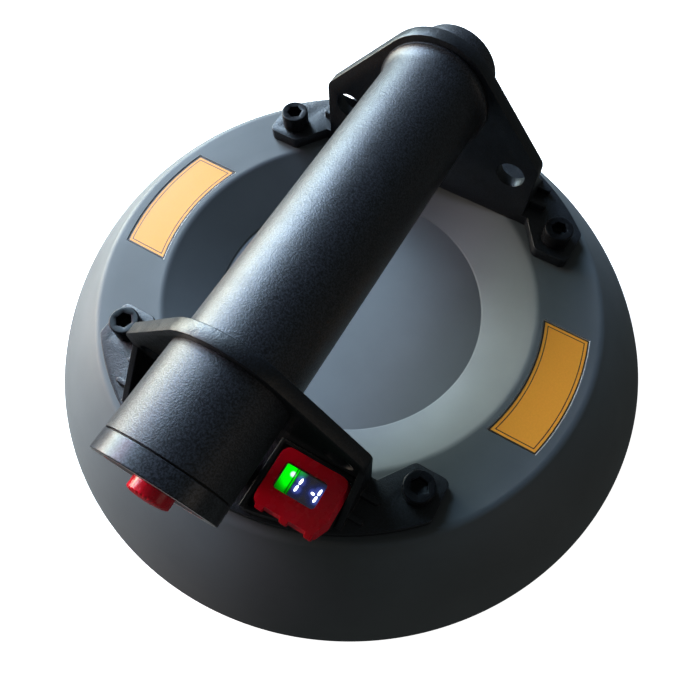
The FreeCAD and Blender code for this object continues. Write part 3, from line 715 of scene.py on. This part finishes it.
def turned_tree(name):
    """Lathe: the input's points (radius, -, height) are turned round Z.

    A point's attribute hex draws its circle in to a hexagon, and its attribute flute lets the
    grooves bite there.
    """
    w = PieceTree(name, {
        "Segments": ("Int", 96), "Flutes": ("Int", 0), "Flute Depth": ("Float", 0.0),
        "Material": ("Material", None)})
    points = w.given["Geometry"]
    size = w.node("GeometryNodeAttributeDomainSize", ("Geometry", points))
    grid = w.node("GeometryNodeMeshGrid", ("Size X", 1.0), ("Size Y", 1.0),
                  ("Vertices X", size.outputs["Point Count"]),
                  ("Vertices Y", w.math("ADD", w.given["Segments"], 1.0)))
    split = w.split(w.position())
    last = w.math("SUBTRACT", size.outputs["Point Count"], 1.0)
    index = w.math("ROUND", w.math("MULTIPLY", w.math("ADD", split["X"], 0.5), last))
    angle = w.math("MULTIPLY", w.math("ADD", split["Y"], 0.5), math.tau)
    profile = w.split(w.sample(points, w.position(), index, "FLOAT_VECTOR"))
    hexed = w.sample(points, w.attribute("hex"), index)
    fluted = w.sample(points, w.attribute("flute"), index)
    sixth = math.pi / 3
    turned = w.math("SUBTRACT", w.math("FLOORED_MODULO", angle, sixth), sixth / 2)
    flat = w.math("DIVIDE", 1.0, w.math("COSINE", turned))
    around = w.math("ADD", 1.0, w.math("MULTIPLY", hexed, w.math("SUBTRACT", flat, 1.0)))
    half_waves = w.math("MULTIPLY", angle, w.math("MULTIPLY", w.given["Flutes"], 0.5))
    crest = w.math("POWER", w.math("ABSOLUTE", w.math("SINE", half_waves)), 0.6)
    groove = w.math("MULTIPLY", w.math("SUBTRACT", 1.0, crest), w.given["Flute Depth"])
    bite = w.math("MULTIPLY", groove, fluted)
    radius = w.math("SUBTRACT", w.math("MULTIPLY", profile["X"], around), bite)
    place = w.join(x=w.math("MULTIPLY", radius, w.math("COSINE", angle)),
                   y=w.math("MULTIPLY", radius, w.math("SINE", angle)), z=profile["Z"])
    moved = w.node("GeometryNodeSetPosition", ("Geometry", grid.outputs["Mesh"]),
                   ("Position", place))
    joined = w.node("GeometryNodeMergeByDistance", ("Geometry", moved.outputs["Geometry"]),
                    ("Distance", 1e-6))
    smooth = w.node("GeometryNodeSetShadeSmooth", ("Geometry", joined.outputs["Geometry"]))
    return w.finish(smooth.outputs["Geometry"])


def copies_tree(name):
    """A copy of one piece on every point.

    The points' attribute turn is the copy's angle about Z, and span stretches it along its own Y.
    """
    w = PieceTree(name, {
        "Piece": ("Object", None), "Scale": ("Float", 1.0), "Material": ("Material", None)})
    piece = w.node("GeometryNodeObjectInfo", ("Object", w.given["Piece"]))
    scale = w.given["Scale"]
    stretched = w.math("MULTIPLY", scale, w.attribute("span"))
    copies = w.node("GeometryNodeInstanceOnPoints", ("Points", w.given["Geometry"]),
                    ("Instance", piece.outputs["Geometry"]),
                    ("Rotation", w.join(z=w.attribute("turn"))),
                    ("Scale", w.join(x=scale, y=stretched, z=scale)))
    return w.finish(copies.outputs["Instances"])


def run_tree(obj, name, maker, **values):
    """Put a tree on an object with these inputs and keep what it makes as a plain mesh."""
    tree = bpy.data.node_groups.get(name) or maker(name)
    modifier = obj.modifiers.new(name, "NODES")
    modifier.node_group = tree
    ids = {i.name.lower().replace(" ", "_"): i.identifier for i in tree.interface.items_tree
           if i.in_out == "INPUT"}
    for label, value in values.items():
        modifier[ids[label]] = value
    return plain_mesh(obj, obj.name)


def point_object(name, points, **attributes):
    """Loose points with these attributes, for a tree to work on."""
    mesh = bpy.data.meshes.new(name)
    mesh.from_pydata([tuple(p) for p in points], [], [])
    for label, values in attributes.items():
        layer = mesh.attributes.new(label, "FLOAT", "POINT")
        layer.data.foreach_set("value", [float(v) for v in values])
    return new_object(name, mesh)


def turn(name, outline, material, axis="Z", segments=None, flutes=0, flute_depth=0.0):
    """Turned piece round the Z axis or the handle's axis; its outline is written as for rounded."""
    profile = rounded(outline)
    obj = point_object(name, [(p.x, 0.0, p.y) for p, _ in profile],
                       **{key: [m.get(key, 0) for _, m in profile] for key in ("hex", "flute")})
    run_tree(obj, "turned_piece", turned_tree, material=material, flutes=flutes,
             segments=segments or sizes().round_steps, flute_depth=flute_depth)
    if axis == "HANDLE":
        lay_down = Matrix(((1, 0, 0, 0), (0, 0, 1, 0), (0, -1, 0, handle_axis()), (0, 0, 0, 1)))
        obj.data.transform(lay_down)
    with edited(obj.data) as shape:
        bmesh.ops.recalc_face_normals(shape, faces=shape.faces)
    return crisp(obj)


def copies(name, piece, material, places, turns, spans=None):
    """Copies of one piece at these places, with their angles and stretches; the piece goes."""
    obj = point_object(name, places, turn=turns, span=spans or [1.0] * len(places))
    run_tree(obj, "copies_of_a_piece", copies_tree, piece=piece, material=material)
    bpy.data.objects.remove(piece)
    return obj


# ---- operators: one for each piece or group -----------------------------------------------------
class MakeStep(bpy.types.Operator):
    """Shared start of every step"""

    bl_idname = "lifter.make_step"
    bl_label = "Shared step"
    bl_options = {"REGISTER", "UNDO"}

    def build(self):
        raise RuntimeError("this step builds nothing by itself")

    def execute(self, context):
        self.build()
        return {"FINISHED"}


class MakeCup(MakeStep):
    """Rubber cup with its flat ring, slope, dish and label pockets"""

    bl_idname = "lifter.make_cup"
    bl_label = "Cup"

    def build(self):
        s = sizes()
        rim, top = high("cup_pad").x, ring_top()
        ring_out, ring_in, edge = s.ring_out, s.ring_in, s.rubber_round
        seal_out, groove = high("sealing_ring").x, high("sealing_ring").z
        seal_in = seal_out - s.seal_w
        foot = seal_in - (rim - seal_out)
        under, dish = top - s.cup_wall, top - s.dish_drop
        rim_h, skirt_wall, slope_wall, dish_wall = 3 * MM, 5.5 * MM, 5 * MM, 8 * MM
        groove_round, step_lean, dish_margin, dish_lean = 0.2 * MM, 0.4 * MM, 4 * MM, 2 * MM
        skirt = bow((rim, rim_h), (ring_out, top), s.skirt_bow)
        lining = bow((foot, rim_h), (ring_out - skirt_wall, under), s.skirt_bow)
        outline = [(0.0, dish - s.dish_step, 0), (s.dish_r - dish_margin, dish - s.dish_step, 0),
                   (s.dish_r, dish - s.dish_step, edge / 2), (s.dish_r + step_lean, dish, edge / 2),
                   (ring_in, top, s.crest_round), (ring_out, top, s.crest_round)]
        outline += [(r, h, 0) for r, h in reversed(skirt[1:-1])]
        outline += [(rim, rim_h, edge), (rim, 0.0, edge), (seal_out, 0.0, groove_round),
                    (seal_out, groove, groove_round), (seal_in, groove, groove_round),
                    (seal_in, 0.0, groove_round), (foot, 0.0, edge), (foot, rim_h, edge)]
        outline += [(r, h, 0) for r, h in lining[1:-1]]
        outline += [(ring_out - skirt_wall, under, edge), (ring_in - slope_wall, under, edge),
                    (s.dish_r - dish_lean, dish - dish_wall, edge), (0.0, dish - dish_wall, 0)]
        over = 2 * MM
        cup = turn("cup_body", outline, cup_rubber(), segments=360)
        for side in (-1, 1):
            pocket = label_outline(side, 0.0)
            combine(cup, flat_prism("pocket", pocket, top - s.pocket_depth, top + over))
        soften(cup, s.pocket_round, 3, 60.0)
        # the slots stay as the cut leaves them, so the pockets' faces carry no material
        finish_piece(cup, None, "cup_rubber", "cup_pad")
        paint(seal_foam(), "sealing_ring")


class MakeLabels(MakeStep):
    """Plain amber plates with a thin dark line and a dark edge, one in each pocket of the cup"""

    bl_idname = "lifter.make_labels"
    bl_label = "Label plates"

    def build(self):
        c = colours()
        plates = (label_plate("label_ground", c.label_ground),
                  label_plate("label_dark", c.label_dark))
        for side, name in ((-1, "label_plate_left"), (1, "label_plate_right")):
            plate = new_object(name, self.plate(name, side))
            for material in plates:
                plate.data.materials.append(material)
            finish_piece(plate, None, "cup_rubber", rides="cup_pad")

    def plate(self, name, side):
        """From outside in: dark wall and edge, a band of ground, the dark line and the ground."""
        s = sizes()
        insets = (s.label_gap, s.label_gap + s.label_edge, s.label_border,
                  s.label_border + s.label_line)
        rings = [label_outline(side, inset) for inset in insets]
        mesh = bpy.data.meshes.new(name)
        top, bottom = ring_top() - s.label_sunk, ring_top() - s.pocket_depth
        with edited(mesh) as shape:
            loops = [[shape.verts.new((x, y, top)) for x, y in ring] for ring in rings]
            foot = [shape.verts.new((x, y, bottom)) for x, y in rings[0]]
            n = len(foot)
            for i in range(n):
                j = (i + 1) % n
                for outer, inner, slot in zip([foot] + loops, loops, (1, 1, 0, 1)):
                    face = shape.faces.new((outer[i], outer[j], inner[j], inner[i]))
                    face.material_index = slot
            last = loops[-1]
            for i in range(n // 2 - 1):
                shape.faces.new((last[i], last[i + 1], last[n - 2 - i], last[n - 1 - i]))
            shape.faces.new(list(reversed(foot)))
            bmesh.ops.recalc_face_normals(shape, faces=shape.faces)
        return mesh


class MakeBrackets(MakeStep):
    """Cast brackets with rounded edges"""

    bl_idname = "lifter.make_brackets"
    bl_label = "Brackets"

    def build(self):
        coat = satin_powder()
        for node, name in (("front_bracket", "front_casting"), ("rear_bracket", "rear_casting")):
            casting = soften(clean_copy(node, name), sizes().bracket_edge)
            finish_piece(casting, coat, "bracket_black", node)


class MakeScrews(MakeStep):
    """Four socket head screws"""

    bl_idname = "lifter.make_screws"
    bl_label = "Screws"

    def build(self):
        s = sizes()
        lo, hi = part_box("mounting_screws")
        head, shank, flat = s.screw_head, s.screw_shank, s.socket_flat
        seat, top, deep = hi.z - s.screw_head_h, hi.z, hi.z - s.socket_deep
        x, y = hi.x - head, hi.y - head
        tip_round, seat_round, crown_round = 0.3 * MM, 0.2 * MM, 0.5 * MM
        mouth_w, mouth_h, drill_cone = 0.15 * MM, 0.12 * MM, 1 * MM
        mouth, hexed = flat / math.cos(math.pi / 6) + mouth_w, {"hex": 1}
        outline = [(0.0, lo.z, 0), (shank, lo.z, tip_round), (shank, seat, 0),
                   (head, seat, seat_round), (head, top, crown_round), (mouth, top, 0),
                   (flat, top - mouth_h, 0, hexed), (flat, deep, 0, hexed),
                   (0.0, deep - drill_cone, 0)]
        steel = black_oxide()
        screw = turn("screw", outline, steel, segments=72)
        places = [(sx * x, sy * y, 0.0) for sx in (-1, 1) for sy in (-1, 1)]
        turns = [math.radians(a) for a in (12, 38, 51, 5)]
        screws = copies("cup_screws", screw, steel, places, turns)
        finish_piece(screws, steel, "black_oxide", "mounting_screws")


class MakeHandle(MakeStep):
    """Handle tube, front barrel and rear cap"""

    bl_idname = "lifter.make_handle"
    bl_label = "Handle"

    def build(self):
        s = sizes()
        edge, bore = s.turned_edge, s.tube_bore
        blasted = blasted_anodised("blasted_black", colours().anodised, 0.6, 0.4)

        lo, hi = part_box("handle_tube")
        body, land = hi.x - s.flare_rise, hi.y - 1 * MM
        flare = [math.pi / 12 * k for k in reversed(range(7))]
        outline = [(bore, hi.y, 0), (hi.x, hi.y, edge)]
        outline += [(body + s.flare_rise * (1 - math.cos(a)),
                     land - s.flare_l * (1 - math.sin(a)), 0) for a in flare]
        outline += [(body, lo.y, edge), (bore, lo.y, 0), (bore, hi.y, 0)]
        tube = turn("grip_tube", outline, blasted, axis="HANDLE")
        finish_piece(tube, blasted, "handle_black", "handle_tube")

        lo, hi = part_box("front_barrel")
        front, under = lo.y - s.groove_lip, high("front_gasket").x + s.groove_lip / 4
        outline = [(bore, hi.y, 0), (hi.x, hi.y, edge), (hi.x, front, edge / 2),
                   (under, front, 0), (under, lo.y, 0), (bore, lo.y, 0), (bore, hi.y, 0)]
        barrel = turn("barrel_sleeve", outline, blasted, axis="HANDLE")
        finish_piece(barrel, blasted, "handle_black", "front_barrel")

        plug = soften(clean_copy("rear_end_cap", "rear_plug"), edge)
        finish_piece(plug, blasted, "handle_black", "rear_end_cap")
        paint(black_rubber(), "rear_gasket", "front_gasket")
        paint(bright_steel("port_steel"), "charge_port")


class MakeEndCap(MakeStep):
    """Smooth front cap, its red ring and the fluted power button"""

    bl_idname = "lifter.make_end_cap"
    bl_label = "End cap and button"

    def build(self):
        self.cap()
        paint(gloss_red("ring_red", colours().signal_red, 0.0), "indicator_ring")
        self.button()

    def cap(self):
        """Cap with a bright rim outside the groove for the red ring: a machined rim, made lighter
        by a painted highlight.
        """
        s = sizes()
        smooth = blasted_anodised("satin_black_cap", shade(colours().anodised, 1.15), 0.06, 0.3)
        lo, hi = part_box("front_end_cap")
        out, deep = high("indicator_ring").x, high("indicator_ring").y
        play, ring_edge, bore_edge = 0.05 * MM, 0.1 * MM, 0.2 * MM
        bore = high("power_button").x - s.flange_out + play
        back, under = high("front_gasket").y - 1 * MM, high("front_gasket").x + s.groove_lip / 4
        edge, lip = s.turned_edge, back + s.groove_lip
        outline = [(bore, back, 0), (under, back, 0), (under, lip, 0), (hi.x, lip, edge / 2),
                   (hi.x, lo.y, edge), (out, lo.y, ring_edge), (out, deep, 0),
                   (out - s.ring_w, deep, 0), (out - s.ring_w, lo.y, ring_edge),
                   (bore, lo.y, bore_edge), (bore, back, 0)]
        cap = turn("front_cap", outline, smooth, axis="HANDLE")
        finish_piece(cap, smooth, "cap_black", "front_end_cap")
        # light grey and not metallic: partly the machined rim, partly a painted highlight
        rim = Finish("cap_rim", colours().rim_metal_and_highlight, 0.5)
        rim.rough(rim.noise(400.0), 0.45, 0.55)
        cap.data.materials.append(rim.done())
        # the painted highlight goes on the front face outside the red ring
        z, front = handle_axis(), lo.y + edge / 10
        for face in cap.data.polygons:
            if face.center.y < front and math.hypot(face.center.x, face.center.z - z) > out:
                face.material_index = 1

    def button(self):
        """Domed button with grooves round its front rim and a hidden flange and stem."""
        s = sizes()
        red = gloss_red("button_red", shade(colours().signal_red, 0.95), 0.15)
        lo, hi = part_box("power_button")
        flange, r = hi.x, hi.x - s.flange_out
        tip = lo.y + s.button_short
        rim, front = tip + s.button_crown, lo.y + s.flange_back
        back, stem, flange_edge, stem_edge = front + s.flange_t, 2.2 * MM, 0.1 * MM, 0.2 * MM
        shares = [k / 16 for k in range(17)]
        outline = [(r * math.sin(math.pi / 2 * a), rim - (rim - tip) * math.cos(math.pi / 2 * a), 0,
                    {"flute": max(0.0, 1.0 - abs(a - 0.75) / 0.25) ** 0.5}) for a in shares]
        outline[0] = (0.0, tip, 0)
        outline += [(r, front, 0), (flange, front, flange_edge), (flange, back, flange_edge),
                    (stem, back, 0), (stem, hi.y, stem_edge), (0.0, hi.y, 0)]
        button = turn("push_button", outline, red, axis="HANDLE", segments=s.flutes * 12,
                      flutes=s.flutes, flute_depth=s.flute_depth)
        finish_piece(button, red, "red_plastic", "power_button")


# how far the screen and the backs of its lit segments lie below their node's top
SCREEN_SUNK, SEGMENT_SUNK = 0.3 * MM, 0.28 * MM


class MakeDisplay(MakeStep):
    """Small display with its red bezel, battery light and two lit digits"""

    bl_idname = "lifter.make_display"
    bl_label = "Display"

    def build(self):
        case = soften(clean_copy("display_housing", "display_case"), sizes().housing_edge, 2)
        finish_piece(case, matte_black_plastic(), "black_plastic", "display_housing")
        self.bezel()
        paint(clear_lens(), "display_window")
        unlit_surroundings(frame["nodes"]["display_window"])
        self.screen()
        self.light()
        self.digits()

    def bezel(self):
        """Frame with three lugs on its front edge and a sloped band on its front and right."""
        s = sizes()
        lo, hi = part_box("display_bezel")
        foot = plan(self.frame_corners(lo, hi, lo.y + s.lug_tip, hi.x))
        face = plan(self.frame_corners(lo, hi, lo.y + s.lug_out, hi.x - s.bezel_band))
        bezel = loft("display_frame", (foot, lo.z), (foot, hi.z - s.bezel_slope), (face, hi.z))
        half, back = s.lug_w / 2, lo.y + s.lug_out + s.bezel_round
        for k in range(3):
            x = lo.x + s.lug_first + k * s.lug_pitch
            lug = [(x, back, 0), (x - half * 1.2, back, 0), (x - half, lo.y, s.lug_round),
                   (x + half, lo.y, s.lug_round), (x + half * 1.2, back, 0), (x, back, 0)]
            combine(bezel, flat_prism("lug", plan(lug), lo.z, hi.z), "UNION")
        opening, over = plan(self.window_corners()), s.lug_out
        combine(bezel, flat_prism("opening", opening, lo.z - over, hi.z + over))
        bezel.data.materials.clear()
        for name, tone in (("bezel_red", colours().signal_red),
                           ("bezel_edge_red", colours().edge_red)):
            bezel.data.materials.append(gloss_red(name, tone, 0.25))
        # the rounded edges take the lighter red, a painted highlight along every edge
        soften(bezel, s.bezel_edge, 3, 30.0, 1)
        finish_piece(unlit_surroundings(bezel), None, "red_plastic", "display_bezel")

    def frame_corners(self, lo, hi, front, right):
        """Corners of the bezel's outline in plan with its front and right sides here."""
        r, lean = sizes().bezel_round, sizes().bezel_lean
        middle = (lo.x + hi.x) / 2
        return [(middle, front, 0), (right - lean * 0.45, front, r / 3),
                (right, front + lean, r / 2), (right, hi.y, r), (lo.x, hi.y, r),
                (lo.x, front, r * 0.7), (middle, front, 0)]

    def window_corners(self):
        lo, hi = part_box("display_window")
        r, middle = sizes().window_round, (lo.x + hi.x) / 2
        return [(middle, lo.y, 0), (hi.x, lo.y, r), (hi.x, hi.y, r), (lo.x, hi.y, r),
                (lo.x, lo.y, r), (middle, lo.y, 0)]

    def digit_columns(self):
        """Places of the two digits' lit columns."""
        lo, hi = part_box("display_digits")
        first, y = lo.x + sizes().digit_first, (lo.y + hi.y) / 2
        return [(first, y, hi.z), (first + sizes().digit_pitch, y, hi.z)]

    def screen(self):
        """Dark screen with a blue glow round its lit segments and some of the light's green."""
        face = node_prism("display_screen", "display_digits", drop=SCREEN_SUNK)
        lo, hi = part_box("display_digits")
        halo = tuple(colours().digit_halo)
        f = Glow("screen_glow", (0.016, 0.016, 0.018), 0.3)
        reach, blue_reach, green_reach = sizes().segment_l * 0.6, 6 * MM, 3.5 * MM
        columns = self.digit_columns()
        lamps = [(x, y + dy, z) for x, y, z in columns for dy in (reach, -reach)]
        x, y, z = columns[1]
        lamps.append((x - reach, y, z))
        clouds = f.ramp(f.noise(420.0, 4.0, 0.6), (0.3, 0.45), (0.7, 1.0))
        blue = f.ramp(f.share(f.distance(lamps), 0.0, blue_reach),
                      (0.0, halo), (0.17, shade(halo, 0.8)), (0.3, shade(halo, 0.16)),
                      (0.5, (0.022, 0.02, 0.03)), (1.0, (0.016, 0.014, 0.018)))
        corner = [(lo.x, hi.y, hi.z)]
        green = f.ramp(f.share(f.distance(corner), 0.0, green_reach),
                       (0.0, (0.0, 0.5, 0.03)), (0.8, (0.0, 0.0, 0.0)))
        material = f.shine(f.mix("ADD", f.mix("MULTIPLY", blue, clouds), green), 1.0)
        finish_piece(unlit_surroundings(face), material, "digit_block", "display_digits")

    def light(self):
        """Battery light: a bright spot, a bright field and a dim strip behind a ridge."""
        edge, spot_right, spot_back, fade = 0.2 * MM, 1.4 * MM, 2.1 * MM, 8.5 * MM
        lamp = soften(node_prism("charge_lamp", "battery_light"), edge, 2)
        lo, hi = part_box("battery_light")
        green = colours().green_glow
        f = Glow("lamp_green", (0.0, 0.2, 0.01), 0.35)
        spot = [(hi.x - spot_right, hi.y - spot_back, hi.z)]
        field = f.ramp(f.share(f.distance(spot), 0.0, fade),
                       (0.0, (1.0, 1.0, 1.0)), (0.06, (0.75, 1.0, 0.95)), (0.12, tuple(green)),
                       (0.42, shade(green, 0.8)), (0.6, shade(green, 0.3)),
                       (0.75, shade(green, 0.11)), (1.0, shade(green, 0.03)))
        strips = f.ramp(f.share(f.along("X"), lo.x, hi.x),
                        (0.0, 0.75), (0.6, 1.0), (0.76, 0.85), (0.79, 0.1), (0.88, 0.3),
                        (0.91, (0.6, 1.0, 0.7)), (0.94, 0.3), (1.0, 0.08))
        material = f.shine(f.mix("MULTIPLY", field, strips), 1.5)
        finish_piece(unlit_surroundings(lamp), material, "green_light", "battery_light")

    def digits(self):
        """Lit segments of two digits, lozenges with round ends."""
        s = sizes()
        w, l, thick, taper = s.segment_w / 2, s.segment_l / 2, 0.12 * MM, 0.35
        ends = [math.pi * k / 6 for k in range(7)]
        oval = [(w * math.cos(a), (l - w) * (1 - abs(math.cos(a)) * taper) + w * math.sin(a))
                for a in ends]
        oval += [(-x, -y) for x, y in oval]
        bar = flat_prism("segment", oval, 0.0, thick)
        z = high("display_digits").z - SEGMENT_SUNK
        half, lean = l * 1.1, 0.1
        # a segment's shift in X and Y, its angle and its share of the full length
        upper, lower = (0.0, half, 0.0, 1.0), (0.0, -half, 0.0, 1.0)
        middle = (-1.4 * l, -0.1 * l, math.pi / 2, 0.62)
        places, turns, spans = [], [], []
        for (x, y, _), lit in zip(self.digit_columns(), ((upper, lower), (upper, lower, middle))):
            for dx, dy, angle, span in lit:
                places.append((x + dx + lean * dy, y + dy, z))
                turns.append(angle - lean)
                spans.append(span)
        f = Glow("digit_light", (0.8, 0.85, 1.0), 0.35)
        glow = f.ramp(f.noise(900.0, 1.0), (0.3, tuple(colours().digit_glow)), (0.6, 1.0))
        material = f.shine(glow, 3.0)
        digits = copies("lit_digits", bar, material, places, turns, spans)
        finish_piece(unlit_surroundings(digits), material, "digit_block", rides="display_bezel")


class MakeSpring(MakeStep):
    """Spring under the button's flange, copied in its rest shape; the real one shortens as the
    button goes in
    """

    bl_idname = "lifter.make_spring"
    bl_label = "Button spring"

    def build(self):
        node, joint = "button_spring", "button_press"
        spring = clean_copy(node, "return_spring")
        finish_piece(spring, bright_steel("spring_steel"), "zinc_steel", node)
        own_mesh(spring)


class MakeInside(MakeStep):
    """Finishes of the pieces held inside the handle and under the cup"""

    bl_idname = "lifter.make_inside"
    bl_label = "Inside and vacuum line"

    def build(self):
        paint(metal("zinc_plate", (0.55, 0.56, 0.58), 0.35, (1, 1, 1)),
              "backing_ring", "weld_nuts", "pump_crank", "tie_screws")
        paint(metal("drawn_can", (0.6, 0.6, 0.62), 0.28, (1, 0.05, 1)), "pump_motor")
        paint(metal("turned_brass", (0.62, 0.43, 0.18), 0.25, (1, 1, 0.05)),
              "battery_contacts", "cup_port", "port_nut", "tube_port")
        paint(black_rubber(), "pump_mounts", "vacuum_hose")
        paint(matte_black_plastic(), "button_switch", "pressure_sensor", "check_valve",
              "pump_head", "battery_holder", "air_filter")
        paint(board_mask(), "control_board", "display_board")
        paint(cell_sleeve(), "battery_cell")
        paint(wire_red(), "battery_leads")


# name, angle about Z and height angle in degrees, power in watts, colour
WINDOW_PANES = (
    ("low_left", 165, 6, 62, (1.0, 0.98, 0.81)),
    ("low_front", 193, 6, 60, (1.0, 0.81, 0.66)),
    ("window_left", 150, 18, 65, (0.75, 0.98, 1.0)),
    ("window_front", 178, 18, 28, (0.60, 1.0, 1.0)),
    ("high_left", 150, 32, 61, (0.56, 0.70, 1.0)),
    ("high_front", 182, 32, 22, (0.95, 0.68, 1.0)),
    ("top", 157, 48, 32, (0.50, 0.78, 1.0)),
    ("fill_right", -10, 12, 2.5, (1.0, 0.82, 0.68)),
)
LAMP_DISTANCE, LAMP_SIZE, LAMP_TARGET = 2.5, 1.1, Vector((0.0, 0.0, 0.05))
ROOM_HALF, ROOM_HEIGHT, ROOM_GLOW = 6.0, 6.0, 1.05

# the camera's place, and where its right, down and ahead point
CAMERA_PLACE = (0.0606, -0.0965, 0.2304)
CAMERA_RIGHT = (0.86438, 0.50275, -0.00918)
CAMERA_DOWN = (0.45649, -0.79224, -0.40493)
CAMERA_AHEAD = (-0.2109, 0.3458, -0.9143)


class MakeStage(MakeStep):
    """Pale floor, soft window light from the left and the camera"""

    bl_idname = "lifter.make_stage"
    bl_label = "Stage"

    def build(self):
        self.floor()
        self.world()
        for pane in WINDOW_PANES:
            self.lamp(*pane)
        bpy.context.scene.view_settings.view_transform = "Standard"
        self.camera()

    def floor(self):
        """Pale floor that runs on into plain pale walls, seen but without effect on the light."""
        mesh = bpy.data.meshes.new("studio_room")
        e = ROOM_HALF
        foot = [(-e, -e, 0), (e, -e, 0), (e, e, 0), (-e, e, 0)]
        head = [(x, y, ROOM_HEIGHT) for x, y, _ in foot]
        walls = [(i, 4 + i, 4 + (i + 1) % 4, (i + 1) % 4) for i in range(4)]
        mesh.from_pydata(foot + head, [], [(0, 1, 2, 3), (7, 6, 5, 4)] + walls)
        room = new_object("studio_room", mesh)
        f = Finish("studio_floor", colours().floor, 0.9, specular=0.0)
        f.tone(f.noise(3.0, 2.0), (0.3, 0.99), (0.7, 1.01))
        f.set("Emission Color", (1.0, 1.0, 1.0, 1.0))
        f.set("Emission Strength", ROOM_GLOW)
        room.data.materials.append(f.done())
        room.visible_glossy = room.visible_diffuse = room.visible_shadow = False
        room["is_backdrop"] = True

    def world(self):
        world = bpy.data.worlds.new("studio")
        world.use_nodes = True
        background = world.node_tree.nodes["Background"]
        background.inputs["Color"].default_value = (0.88, 1.0, 1.0, 1.0)
        background.inputs["Strength"].default_value = 0.08
        bpy.context.scene.world = world

    def lamp(self, name, around, up, power, tint):
        """Soft round lamp that faces the lifter, at an angle about Z and a height angle."""
        a, e = math.radians(around), math.radians(up)
        away = Vector((math.cos(e) * math.cos(a), math.cos(e) * math.sin(a), math.sin(e)))
        data = bpy.data.lights.new(name, "AREA")
        data.shape, data.size = "DISK", LAMP_SIZE
        data.energy = power
        data.color = tint
        lamp = new_object(name, data)
        lamp.location = LAMP_TARGET + LAMP_DISTANCE * away
        lamp.rotation_euler = (LAMP_TARGET - lamp.location).to_track_quat("-Z", "Y").to_euler()

    def camera(self):
        data = bpy.data.cameras.new("camera")
        data.sensor_width = 36.0
        data.lens = 32.25
        data.shift_x, data.shift_y = -0.0069, 0.018
        data.clip_start = 0.01
        camera = new_object("camera", data)
        up, back = ([-v for v in axis] for axis in (CAMERA_DOWN, CAMERA_AHEAD))
        turned = Matrix((CAMERA_RIGHT, up, back)).transposed().to_4x4()
        camera.matrix_world = Matrix.Translation(CAMERA_PLACE) @ turned
        bpy.context.scene.camera = camera


class LifterPanel(bpy.types.Panel):
    """Steps that build the lifter, with its sizes and colours"""

    bl_idname = "VIEW3D_PT_lifter"
    bl_label = "Vacuum cup lifter"
    bl_space_type = "VIEW_3D"
    bl_region_type = "UI"
    bl_category = "Lifter"

    def draw(self, context):
        for step in STEPS:
            self.layout.operator(step.bl_idname)
        for group in (context.scene.lifter_sizes, context.scene.lifter_colours):
            box = self.layout.box()
            for key in group.__annotations__:
                box.prop(group, key)


STEPS = (MakeCup, MakeLabels, MakeBrackets, MakeScrews, MakeHandle, MakeEndCap, MakeDisplay,
         MakeSpring, MakeInside, MakeStage)
CLASSES = (LifterSizes, LifterColours) + STEPS + (LifterPanel,)


def register():
    for cls in CLASSES:
        bpy.utils.register_class(cls)
    bpy.types.Scene.lifter_sizes = bpy.props.PointerProperty(type=LifterSizes)
    bpy.types.Scene.lifter_colours = bpy.props.PointerProperty(type=LifterColours)


def unregister():
    del bpy.types.Scene.lifter_colours
    del bpy.types.Scene.lifter_sizes
    for cls in reversed(CLASSES):
        bpy.utils.unregister_class(cls)


def corners():
    return [list(corner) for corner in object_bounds()]


def main():
    """Run every step in order."""
    register()
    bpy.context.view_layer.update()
    for step in STEPS:
        group, name = step.bl_idname.split(".")
        getattr(getattr(bpy.ops, group), name)()
    bpy.context.view_layer.update()


if __name__ == "__main__":
    main()
